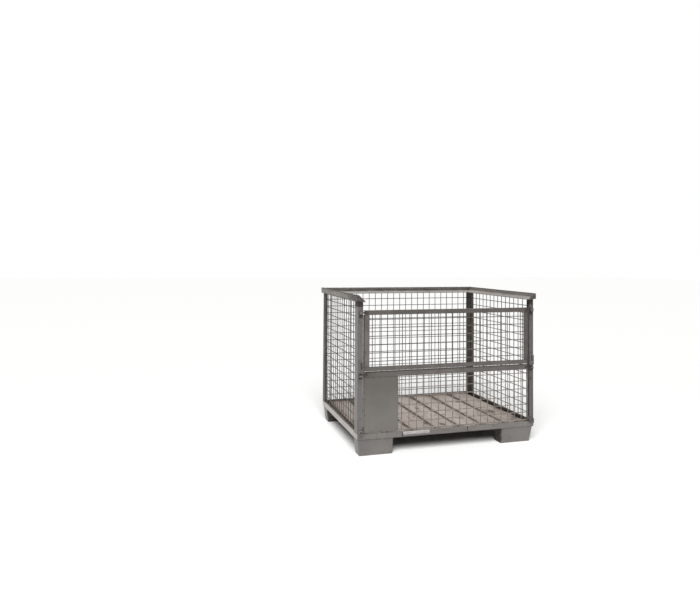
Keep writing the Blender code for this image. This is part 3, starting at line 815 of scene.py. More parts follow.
# The rim is rubbed by the feet of the box above: duller, browner, scratched along
RIM_PAINT = Finish("sprayed_rim_paint", "#85807b", 0.44, (
    Patches("#948f89", (200, 200, 90), 0.42, 0.66, 0.8, 0.40),
    Patches("#726b64", (90, 90, 60), 0.52, 0.74, 0.6, 0.50),
    scratches("#b0aaa1", 0.55),
    # Dirt and painted shade in the bends, and the left arm darker towards the front
    Patches("#524d48", (60, 60, 30), 0.60, 1.02, 0.85, 0.60, mask=Mask.CORNERS, boost=0.5),
    rust(0.75, 20),
    chips(0.95, 0.26),
), Slot.RIM)

# Flap angles are handled every day: browner, with more rust and chips
FLAP_PAINT = Finish("sprayed_flap_paint", "#706b66", 0.47, (
    Patches("#7e7872", (160, 160, 120), 0.44, 0.66, 0.7, 0.50),
    Patches("#625954", (80, 80, 80), 0.50, 0.72, 0.7, 0.46),
    scratches("#9a958f", 0.40),
    grime("#3f3731", 0.85),
    rust(0.8, 18),
    chips(0.95, 0.26),
), Slot.FLAP)

# The plate is flat sheet in the frame's grey, almost smooth, with papers' scuff marks
PLATE_PAINT = Finish("sprayed_sheet_paint", "#817c77", 0.42, (
    Patches("#8b8681", (260, 260, 200), 0.42, 0.66, 0.6, 0.46),
    streaks("#736c65", 0.12),
    scratches("#a09b94", 0.3),
    # Darker towards the top of the plate
    Patches("#6b6762", (400, 400, 300), 0.60, 1.05, 0.8, 0.46, mask=Mask.CORNERS, boost=0.45),
    chips(0.5),
), grain_height_mm=0.012)

# Drawn wire, welded and dipped in paint: thin on the crown, browned where it has chipped
WIRE_PAINT = Finish("dipped_wire_paint", "#67625c", 0.5, (
    Patches("#7d776f", (60, 60, 60), 0.45, 0.65, 0.7, 0.55),
    Patches("#4c463f", (22, 22, 22), 0.52, 0.66, 0.7, 0.5),
    rust(0.8, 12),
), Slot.WIRE, grain_mm=1.2, grain_height_mm=0.03)

# The lower flap's wires: the same paint, lighter, as painted light
LIT_WIRE_PAINT = toned(WIRE_PAINT, "lit_wire_paint", 1.9)

# The guard strip is painted like the frame; goods have rubbed one stretch, which
# carries a painted highlight, and its slits hold painted shade
STRIP_PAINT = Finish("painted_guard_strip", "#7b7673", 0.40, (
    Patches("#857f7b", (60, 60, 20), 0.45, 0.66, 0.7, 0.42),
    # The rubbed stretch, bright with a painted highlight
    Patches("#d4d0ce", (40, 40, 4), 0.88, 1.12, 0.95, 0.30, mask=Mask.EDGES, boost=0.60),
    scratches("#b5b0ac", 0.30),
    # Painted shade in the slits
    grime("#1d1815", 0.95),
), Slot.BARE, grain_mm=1.2, grain_height_mm=0.014)

# Drawn steel pins, black with oxide and grease, rubbed where they bear
PIN_STEEL = Finish("oxidised_drawn_pins", "#55504b", 0.48, (
    Patches("#37312c", (7, 7, 7), 0.46, 0.62, 0.8, 0.65),
    Patches("#6e4f38", (5, 5, 5), 0.64, 0.72, 0.7, 0.80),
    scratches("#86817b", 0.35),
), Slot.BARE, metallic=0.55, grain_mm=0.9, grain_height_mm=0.012)

# Nail heads: round, hammered, rusted dark
NAIL_STEEL = Finish("rusted_nail_heads", "#4a3c33", 0.62, (
    Patches("#2f2621", (4, 4, 4), 0.45, 0.6, 0.8, 0.8),
), Slot.BARE, metallic=0.6, grain_mm=0.8, grain_height_mm=0.05)

# Sawn softwood, greyed by use: fibres along the boards, dark where dirt lodges
SOFTWOOD = Finish("weathered_softwood", "#9a9089", 0.78, (
    Patches("#aca29b", (150, 500, 150), 0.44, 0.62, 0.6, 0.8),
    Patches("#9c8a83", (90, 200, 90), 0.56, 0.68, 0.6, 0.8),
    Patches("#7f756c", (9, 420, 9), 0.50, 0.64, 0.5, 0.85, -0.12),
    Patches("#6c6158", (2.6, 90, 2.6), 0.56, 0.68, 0.5, 0.9, -0.10),
    Patches("#655a52", (70, 110, 70), 0.60, 0.74, 0.5, 0.85),
    # Dark joints at the edges, and painted shade at the front and back ends
    Patches("#43372f", (12, 40, 12), 0.72, 1.08, 0.86, 0.9, mask=Mask.EDGES, boost=0.70),
    # Stains, and painted shade towards the back
    Patches("#6b6058", (60, 90, 60), 0.55, 0.95, 0.6, 0.9, mask=Mask.CORNERS, boost=0.5),
    Patches("#3d3029", (9, 20, 9), 1.00, 1.25, 0.90, 0.9, mask=Mask.CORNERS, boost=0.8),
    mud_and_underside_shade("#2a221b", 0.95),
), Slot.BOARD, grain_mm=0.7, grain_height_mm=0.05)

# Dirt that has packed between the boards: sand, rust and splinters, nearly black; it
# also stands for the shade in the gaps and keeps light from passing through them
SEAM_DIRT_AND_SHADE = Finish("packed_seam_dirt_and_shade", "#3a2e25", 0.95, (
    Patches("#5b4a3c", (14, 30, 14), 0.52, 0.66, 0.7, 0.95, 0.2),
    Patches("#231b15", (5, 9, 5), 0.50, 0.62, 0.7, 0.95, -0.2),
), Slot.BOARD, grain_mm=0.9, grain_height_mm=0.25)

# The same paints on each piece, darker or lighter as painted shade and painted light, for how the
# light falls on it
POST_FINISHES = {
    (Depth.FRONT, Side.LEFT): POST_PAINT,
    (Depth.FRONT, Side.RIGHT): toned(POST_PAINT, "sprayed_right_post_paint", 0.74),
    (Depth.BACK, Side.LEFT): toned(SHADED_PAINT, "sprayed_left_back_post_paint", 0.72),
    (Depth.BACK, Side.RIGHT): toned(SHADED_PAINT, "sprayed_right_back_post_paint", 1.5),
}
BAR_FINISHES = {
    "upper_top_bar": toned(FLAP_PAINT, "sprayed_top_bar_paint", 0.82),
    "upper_bottom_bar": toned(FLAP_PAINT, "sprayed_bottom_bar_paint", 0.92),
    "lower_top_bar": toned(FLAP_PAINT, "sprayed_lower_bar_paint", 0.96),
}
STILE_FINISHES = {
    Side.LEFT: toned(FLAP_PAINT, "sprayed_left_stile_paint", 1.10),
    Side.RIGHT: toned(FLAP_PAINT, "sprayed_right_stile_paint", 0.70),
}
MAT_FINISHES = {Level.UPPER: WIRE_PAINT, Level.LOWER: LIT_WIRE_PAINT}


@dataclass(frozen=True)
class Dresser:
    """Puts surfaces into Blender and ties them to the frame."""

    smooth_angle: float = math.radians(38)

    def put(self, name: str, surface: Surface, finish: Finish, body: Body = Body.FRAME,
            replaces: Sequence[str] = ()) -> None:
        """Make an object of a surface, dress it and tie it to its body.

        Args:
            name: Name of the piece.
            surface: Its mesh.
            finish: Its material.
            body: Body that carries the piece.
            replaces: Nodes of the frame that it stands for.
        """
        mesh = bpy.data.meshes.new(name)
        sizes = np.concatenate([np.full(len(surface.quads), 4), [len(cap) for cap in surface.caps]])
        corners = np.concatenate([surface.quads.reshape(-1), *surface.caps]).astype(np.int32)
        mesh.vertices.add(len(surface.points))
        mesh.vertices.foreach_set("co", surface.points.astype(np.float32).reshape(-1))
        mesh.loops.add(len(corners))
        mesh.loops.foreach_set("vertex_index", corners)
        mesh.polygons.add(len(sizes))
        starts = np.concatenate([[0], np.cumsum(sizes)[:-1]]).astype(np.int32)
        mesh.polygons.foreach_set("loop_start", starts)
        mesh.update(calc_edges=True)
        mesh.validate()
        for label, values in (("wear", surface.wear), ("grime", surface.grime)):
            layer = mesh.attributes.new(label, "FLOAT", "POINT")
            layer.data.foreach_set("value", values.astype(np.float32))
        mesh.shade_smooth()
        mesh.set_sharp_from_angle(angle=self.smooth_angle)
        mesh.materials.append(finish.build())
        piece = bpy.data.objects.new(name, mesh)
        bpy.context.scene.collection.objects.link(piece)
        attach(piece, body.value)
        if replaces:
            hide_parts(*replaces)
        LOG.info("%s: %d points, %d faces", name, len(surface.points), len(sizes))

    def dress(self, node: str, surface: Surface, finish: Finish,
              body: Body = Body.FRAME) -> None:
        """Put a surface in the place of one node, named after it.

        Args:
            node: The node.
            surface: Its mesh.
            finish: Its material.
            body: Body that carries the node.
        """
        self.put(node + "_dressed", surface, finish, body, [node])

    def repaint(self, node: str, finish: Finish) -> None:
        """Give a node of the frame a better material.

        Args:
            node: The node, which keeps its solid.
            finish: Its new material.
        """
        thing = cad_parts[node]
        for place in thing.material_slots:
            place.material = finish.build()
        LOG.info("%s: keeps its solid, finish %s", node, finish.name)


def extent(node: str) -> tuple[Array, Array]:
    """Return the lowest and highest corner of a node at rest."""
    low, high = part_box(node)
    return np.array(low), np.array(high)


def starting_corner(low: Array, high: Array, wall: Wall) -> Array:
    """Return a box's upper outer corner, where a piece along the wall starts."""
    return np.where(wall.inwards + wall.along > 0, low, high)


def mitre(ring: Array) -> Array:
    """Return how far a 45 degree cut lies in at each point of a section: its depth x."""
    return ring[:, 0]


def rectangle(low: Sequence[float], high: Sequence[float], radius: float,
              arc: int = 4) -> Outline:
    """Return a rectangle with equal rounds."""
    corners = ((low[0], low[1]), (high[0], low[1]), (high[0], high[1]), (low[0], high[1]))
    return Outline(corners, (radius,) * 4, arc)


def angle_bar(face: float, leg: float, wall: float, heel: float, root: float) -> Outline:
    """Return the section of a rolled angle: face along x, leg along y, toes rounded.

    Args:
        face: Width of the face.
        leg: Length of the leg.
        wall: Thickness of both.
        heel: Radius of the outer corner.
        root: Radius of the inner corner.

    Returns:
        The section.
    """
    toe = 0.35 * wall
    corners = ((0, 0), (face, 0), (face, wall), (wall, wall), (wall, leg), (0, leg))
    return Outline(corners, (heel, toe, toe, root, toe, toe))


@dataclass(frozen=True)
class BaseFrame:
    """The welded base: four mitred rails, two bearers, the guard strip and four feet."""

    wall: float = 0.004
    ledge: float = 0.008
    heel: float = 0.003
    toe: float = 0.001
    bearer_wall: float = 0.003
    bearer_bend: float = 0.004
    foot_wall: float = 0.005
    foot_taper: float = 0.014
    foot_corner: float = 0.010
    foot_edge: float = 0.005
    foot_lip: float = 0.001
    foot_fillet: float = 0.004
    foot_shade: float = 0.85
    foot_rub: float = 0.5
    dirt_reach: float = 0.008
    seam_radius: float = 0.0018
    seam_out: float = 0.0008
    seam_sink: float = 0.0012
    strip_margin: float = 0.007
    strip_bright: float = 0.42
    strip_fade: float = 0.02
    strip_slit: float = 0.005
    strip_ends: tuple[tuple[float, float], ...] = (
        (0.0, 0.75), (0.0006, 0.92), (0.002, 0.99), (0.004, 1.0),
    )

    def rail(self, wall: Wall) -> Surface:
        """Return a rail: its section carried between the two mitred corners.

        A point of the section at depth x starts x after the corner and ends x before the
        other one, which cuts both ends at 45 degrees.

        Args:
            wall: The side of the box that it runs along.

        Returns:
            The rail.
        """
        low, high = extent("rail_" + wall.word)
        size = high - low
        depth, length, height = abs(size @ wall.inwards), size @ wall.along, size[2]
        corners = (
            (0, 0), (depth, 0), (depth, self.ledge), (self.wall, self.ledge),
            (self.wall, height), (0, height),
        )
        toe = self.toe
        outline = Outline(corners, (self.heel, toe, toe, self.heel, toe, toe))
        high[2] = low[2]
        place = Placement(starting_corner(low, high, wall), wall.inwards, Z_AXIS, wall.along)
        return bar(outline, place, length, 0.0005, 12, mitre, lambda ring: length - mitre(ring))

    def bearer(self, depth: Depth) -> Surface:
        """Return a channel under the boards, open below.

        Args:
            depth: Front or back.

        Returns:
            The bearer.
        """
        low, high = extent("bearer_" + depth.word)
        length, width, height = high - low
        wall, toe, bend = self.bearer_wall, self.toe, self.bearer_bend
        corners = (
            (0, 0), (0, height), (width, height), (width, 0), (width - wall, 0),
            (width - wall, height - wall), (wall, height - wall), (wall, 0),
        )
        outline = Outline(corners, (toe, bend, bend, toe, toe, bend / 2, bend / 2, toe))
        return bar(outline, Placement(low, Y_AXIS, Z_AXIS, X_AXIS), length)

    def strip(self) -> Surface:
        """Return the guard strip: half an ellipse carried along X, drawn in at its ends.

        strip_ends says how full its section is at each distance from an end.
        wear is 1 on the upper half of its first stretch, which is rubbed and
        carries a painted highlight, and grime is 1 at both ends, where painted shade
        darkens the slit that the weld has left.

        Returns:
            The strip.
        """
        low, high = extent("sill_strip")
        turn = np.linspace(0, math.pi, 17)
        bulge, half = high[1] - low[1], (high[2] - low[2]) / 2
        ends, scale = np.array(self.strip_ends).T
        between = np.linspace(low[0] + self.strip_margin, high[0] - self.strip_margin, 60)
        where = np.concatenate([low[0] + ends, between, high[0] - ends[::-1]])
        grow = np.concatenate([scale, np.ones(len(between)), scale[::-1]])[:, None]
        reach = (where - low[0]) / (high[0] - low[0])
        # Painted highlight on the upper half of the first stretch, which is also rubbed
        highlight = np.clip((self.strip_bright - reach) / self.strip_fade, 0, 1)[:, None]
        above = np.clip((turn / math.pi - 0.30) / 0.20, 0, 1)[None]
        # Painted shade in the slits at both ends
        slit = np.minimum(where - low[0], high[0] - where) < self.strip_slit
        rings = np.stack([
            np.broadcast_to(where[:, None], (len(where), len(turn))),
            high[1] - bulge * np.sin(turn) * grow,
            (low[2] + high[2]) / 2 - half * np.cos(turn) * grow,
        ], axis=-1)
        return loft(rings, highlight * above, slit[:, None])

    def foot(self, corner: Corner) -> Surface:
        """Return a pressed foot: rings of a rounded rectangle, outside up and inside down.

        The ring at height z is drawn in by the bottom's round, edge * (1 - sin a) at
        edge * (1 - cos a), and its outer sides lean in by taper * (1 - z / height).

        Args:
            corner: Which corner of the pallet.

        Returns:
            The foot as one closed skin, open at the top like a cup; grime marks its
            inside and its sides that face away from the corner with painted shade.
        """
        low, high = extent("foot_" + corner.word)
        size = high - low
        outline = rectangle((0, 0), size[:2], self.foot_corner, 7)
        turn = np.linspace(0, math.pi / 2, 6)
        lower = self.foot_edge * (1 - np.cos(turn))
        inset = self.foot_edge * (1 - np.sin(turn))
        body = np.linspace(self.foot_edge, size[2] - self.foot_lip, 7)[1:]
        wall, fillet, lip = self.foot_wall, self.foot_fillet, 0.8 * self.foot_lip
        heights = [*lower, *body, size[2], size[2], body[-1], wall + fillet, wall]
        insets = [*inset, *np.zeros(len(body)), lip, wall - lip, wall, wall, wall + fillet]
        rings = []
        for height, amount in zip(heights, insets):
            lean = 1 - self.foot_taper * (1 - height / size[2]) / size[:2]
            flat = outline.ring(amount) * lean
            rings.append(np.column_stack([flat, np.full(len(flat), height)]))
        rings = np.array(rings)
        outer = np.array([corner.side.value, corner.depth.value])
        rings[..., :2] = np.where(outer > 0, low[:2], high[:2]) + outer * rings[..., :2]
        rings[..., 2] += low[2]
        # Painted shade on the sides that face away from the corner and, below, inside the cup
        shaded_sides = np.exp(-outline.ring().min(axis=1) / self.dirt_reach)
        inside = (np.arange(len(heights)) > len(lower) + len(body))[:, None]
        dirt_and_shade = np.maximum(self.foot_shade * shaded_sides[None], inside)
        return loft(rings, outline.marks()[0] * self.foot_rub, dirt_and_shade)

    def seam(self, corner: Corner) -> Surface:
        """Return the weld bead between a foot and the base frame, round the foot's top.

        Args:
            corner: Which corner of the pallet.

        Returns:
            The bead.
        """
        low, high = extent("foot_" + corner.word)
        ring = rectangle(low, high, self.foot_corner, 5).ring(-self.seam_out)
        path = np.column_stack([ring, np.full(len(ring), high[2] - self.seam_sink)])
        return bead(path, self.seam_radius, 0.0035, closed=True)

    def build(self, dresser: Dresser) -> None:
        """Build and dress the base frame.

        Args:
            dresser: Puts the pieces into Blender.
        """
        for wall in Wall:
            finish = LEFT_LIT_PAINT if wall is Wall.LEFT else FRAME_PAINT
            dresser.dress("rail_" + wall.word, self.rail(wall), finish)
        for depth in Depth:
            dresser.dress("bearer_" + depth.word, self.bearer(depth), FRAME_PAINT)
        dresser.put("guard_strip", self.strip(), STRIP_PAINT, Body.FRAME, ["sill_strip"])
        for corner in CORNERS:
            dresser.dress("foot_" + corner.word, self.foot(corner), FOOT_PAINT)
        seams = joined([self.seam(corner) for corner in CORNERS])
        dresser.put("foot_weld_seams", seams, FRAME_PAINT)


@dataclass(frozen=True)
class Rim:
    """The stacking rim: bent plate on the back and both ends, with closed front ends."""

    wall: float = 0.004
    lip: float = 0.037
    top: float = 0.013
    well: float = 0.024
    run: float = 0.043
    fall: float = 0.040
    bend: float = 0.005
    cut: float = 0.001
    seam_radius: float = 0.0016
    bend_dirt_and_shade: float = 0.2
    front_dirt_reach: float = 0.45

    def corners(self) -> tuple[list[tuple[float, float]], list[tuple[float, float]]]:
        """Work out where the plate is bent.

        Returns:
            The bends of its upper and of its lower face, as rows of (distance in from the
            lip, height over the top).
        """
        drop = self.fall - self.well
        length = math.hypot(self.run, drop)
        tip = (self.top + self.run, -self.fall)
        upper = [(0.0, -self.lip), (0.0, 0.0), (self.top, 0.0), (self.top, -self.well), tip]
        below_bend = self.wall * (length - drop) / self.run
        lower = [
            (self.wall, -self.lip),
            (self.wall, -self.wall),
            (self.top - self.wall, -self.wall),
            (self.top - self.wall, -self.well - below_bend),
            (tip[0] - drop / length * self.wall, tip[1] - self.run / length * self.wall),
        ]
        return upper, lower

    def section(self) -> Outline:
        """Put both faces of the bent plate together.

        Returns:
            Its section, with a tip at either end and a tight round inside each bend.
        """
        upper, lower = self.corners()
        tip = 0.35 * self.wall
        tight = self.bend - self.wall
        radii = (tip, self.bend, self.bend, tight, tip, tip, self.bend, tight, tight, tip)
        return Outline(tuple(upper + lower[::-1]), radii, 6)

    def arm(self, wall: Wall) -> Surface:
        """Return one side of the rim, mitred at the back corners.

        A point x in from the lip ends x before the corner, which is the 45 degree cut.

        Args:
            wall: The back, left or right side of the box.

        Returns:
            The arm; grime marks its bends with dirt and painted shade, and on the
            left it grows darker towards the front.
        """
        low, high = extent("rim_" + wall.word)
        length = (high - low) @ wall.along
        place = Placement(starting_corner(low, high, wall), wall.inwards, Z_AXIS, wall.along)
        is_back = wall is Wall.BACK
        surface = bar(self.section(), place, length, steps=24 if is_back else 16,
                      start=mitre if is_back else None, end=lambda ring: length - mitre(ring))
        if is_back:
            return surface
        # Dirt and painted shade in the bends; the left arm darker towards the front
        dirt_and_shade = surface.grime * self.bend_dirt_and_shade
        if wall is Wall.LEFT:
            behind = (surface.points[:, 1] - low[1]) / self.front_dirt_reach
            dirt_and_shade = np.maximum(dirt_and_shade, np.clip(1 - behind, 0, 1))
        return replace(surface, grime=dirt_and_shade)

    def end_plate(self, side: Side) -> Surface:
        """Return the plate that closes a front end of the rim.

        Args:
            side: Left or right.

        Returns:
            The plate.
        """
        low, high = extent("rim_end_" + side.word)
        upper, lower = self.corners()
        corners = tuple(upper[:3] + [upper[-1], lower[-1], lower[0]])
        cut = self.cut
        outline = Outline(corners, (cut, self.bend, self.bend, cut, cut, cut))
        origin = Corner(Depth.FRONT, side).outermost(low, high)
        origin[2] = high[2]
        place = Placement(origin, -side.value * X_AXIS, Z_AXIS, Y_AXIS)
        return bar(outline, place, high[1] - low[1], 0.0008)

    def mitre_bead(self, side: Side) -> Surface:
        """Return the bead over a mitre: up the lip, over the top and down the slope.

        Args:
            side: Left or right.

        Returns:
            The bead.
        """
        low, high = extent("rim_back")
        origin = Corner(Depth.BACK, side).outermost(low, high)
        origin[2] = high[2]
        steps = np.array(self.corners()[0])
        path = origin + steps[:, :1] * np.array([-side.value, -1.0, 0.0]) + steps[:, 1:] * Z_AXIS
        return bead(path, self.seam_radius)

    def build(self, dresser: Dresser) -> None:
        """Build and dress the rim.

        Args:
            dresser: Puts the pieces into Blender.
        """
        for wall in (Wall.BACK, Wall.LEFT, Wall.RIGHT):
            dresser.dress("rim_" + wall.word, self.arm(wall), RIM_PAINT)
        for side in Side:
            dresser.dress("rim_end_" + side.word, self.end_plate(side), RIM_PAINT)
        dresser.put("rim_weld_seams", joined([self.mitre_bead(side) for side in Side]), RIM_PAINT)


@dataclass(frozen=True)
class Posts:
    """The four corner angles, cut at the top to the underside of the rim."""

    rim: Rim
    wall: float = 0.004
    heel: float = 0.003
    root: float = 0.004
    overhang: float = 0.012
    seat: float = 0.0003
    shaded_top: float = 0.045
    bead_radius: float = 0.0013

    def under_rim(self, distance: Array, top: float) -> Array:
        """Return the height of the rim's underside at a distance in from its lip.

        The slope falls by drop / run, with drop = fall - well, and its underside lies
        (wall + seat) * slope length / run under it.

        Args:
            distance: Distance in from the lip.
            top: Height of the rim.

        Returns:
            Heights.
        """
        rim = self.rim
        drop = rim.fall - rim.well
        slant = (rim.wall + self.seat) * math.hypot(rim.run, drop) / rim.run
        return top - rim.well - (distance - rim.top) * drop / rim.run - slant

    def post(self, corner: Corner) -> Surface:
        """Return a corner angle, from the base frame to the rim.

        Args:
            corner: Which corner of the pallet.

        Returns:
            The post; grime marks its top with painted shade, under the rim.
        """
        low, high = extent("post_" + corner.word)
        rim_top = extent("rim_back")[1][2]
        size = high - low
        outline = angle_bar(size[0], size[1], self.wall, self.heel, self.root)
        across, up = -corner.side.value * X_AXIS, -corner.depth.value * Y_AXIS
        place = Placement(corner.outermost(low, high), across, up, Z_AXIS)

        def cut(ring: Array) -> Array:
            """Cut the post to the rim.

            Args:
                ring: Points of the section.

            Returns:
                Where each of them meets the rim, from the post's foot.
            """
            height = self.under_rim(ring[:, 0] + self.overhang, rim_top)
            if corner.depth is Depth.BACK:
                along_back = self.under_rim(ring[:, 1] + self.overhang, rim_top)
                height = np.minimum(height, along_back)
            return height - low[2]

        surface = bar(outline, place, size[2], 0.0005, 80, end=cut)
        # Painted shade at the top of the post, under the rim
        shaded = surface.points[:, 2] > high[2] - self.shaded_top
        return replace(surface, grime=np.maximum(surface.grime, shaded))

    def root_bead(self, corner: Corner) -> Surface:
        """Return the bead at the foot of a post, along its two outer faces.

        Args:
            corner: Which corner of the pallet.

        Returns:
            The bead.
        """
        low, high = extent("post_" + corner.word)
        outer = corner.outermost(low, high)
        inner = np.where(outer == low, high, low)
        path = np.array([[inner[0], outer[1], low[2]], outer, [outer[0], inner[1], low[2]]])
        return bead(path, self.bead_radius)

    def build(self, dresser: Dresser) -> None:
        """Build and dress the posts and the beads at their feet.

        Args:
            dresser: Puts the pieces into Blender.
        """
        for corner in CORNERS:
            finish = POST_FINISHES[corner.depth, corner.side]
            dresser.dress("post_" + corner.word, self.post(corner), finish)
        beads = joined([self.root_bead(corner) for corner in CORNERS])
        dresser.put("post_weld_seams", beads, FRAME_PAINT)


@dataclass(frozen=True)
class WireMat:
    """A welded mat: upright wires outside, level wires inside and a folded edge round them."""

    wire: float = 0.005
    sink: float = 0.0004
    pitch: float = 0.050
    sides: int = 10
    wall_edge: float = 0.010
    edge_round: float = 0.0012
    buckle: float = 0.0012
    buckle_size: float = 0.42

    def lines(self, length: float) -> Array:
        """Return the evenly spaced wire lines between two edges, as a column."""
        count = max(2, round(length / self.pitch))
        return np.linspace(0, length, count + 1)[1:-1, None]

    def surface(self, node: str, wall: Wall, edge: float, seed: int) -> Surface:
        """Return the mat of a node.

        Upright wires stand at the lines along the wall, level ones at the lines up, each a
        straight round rod. The two layers sink into each other by `sink` at every weld,
        and the edge is a strip carried round the rectangle with mitred corners. The whole
        mat buckles inwards and outwards by a smooth field that is nil at its edges.

        Args:
            node: Node of the frame that it stands for.
            wall: The side of the box that it closes.
            edge: Width of its folded edge.
            seed: Seed of the buckling.

        Returns:
            The mat.
        """
        low, high = extent(node)
        across, inwards = wall.along, wall.inwards
        size = high - low
        width, height, depth = size @ across, size[2], size @ np.abs(inwards)
        origin = np.where(inwards < 0, high, low)
        origin[2] = low[2]
        bite = edge / 2
        outer, inner = self.wire / 2 + self.sink, depth - self.wire / 2 - self.sink
        upright, level = self.lines(width), self.lines(height)
        base = origin + outer * inwards + upright * across
        uprights = rods(base + bite * Z_AXIS, base + (height - bite) * Z_AXIS, across, inwards,
                        self.wire / 2, self.sides, 2 * len(level) + 3)
        base = origin + inner * inwards + level * Z_AXIS
        levels = rods(base + bite * across, base + (width - bite) * across, inwards, Z_AXIS,
                      self.wire / 2, self.sides, 2 * len(upright) + 3)
        strip = rectangle((0, 0), (edge, depth), self.edge_round).ring()
        rings = np.stack([
            origin
            + (u + strip[:, :1] * (1 if u == 0 else -1)) * across
            + (v + strip[:, :1] * (1 if v == 0 else -1)) * Z_AXIS
            + strip[:, 1:] * inwards
            for u, v in ((0, 0), (width, 0), (width, height), (0, height))
        ])
        mat = joined([uprights, levels, loft(rings, closed=True)])
        flat = np.stack([(mat.points - origin) @ across / width,
                         (mat.points[:, 2] - origin[2]) / height], axis=1)
        calm = np.prod(np.sin(math.pi * np.clip(flat, 0, 1)), axis=1) ** 0.5
        wave = swell_field(flat * [width, height], self.buckle_size, self.buckle, seed) * calm
        return replace(mat, points=mat.points + wave[:, None] * inwards)

    def build(self, dresser: Dresser) -> None:
        """Build and dress the mats of the back and both ends.

        Args:
            dresser: Puts the pieces into Blender.
        """
        for seed, wall in enumerate((Wall.BACK, Wall.LEFT, Wall.RIGHT), 11):
            node = "mesh_" + wall.word
            mat = self.surface(node, wall, self.wall_edge, seed)
            dresser.put("wire_mat_" + wall.word, mat, WIRE_PAINT, Body.FRAME, [node])


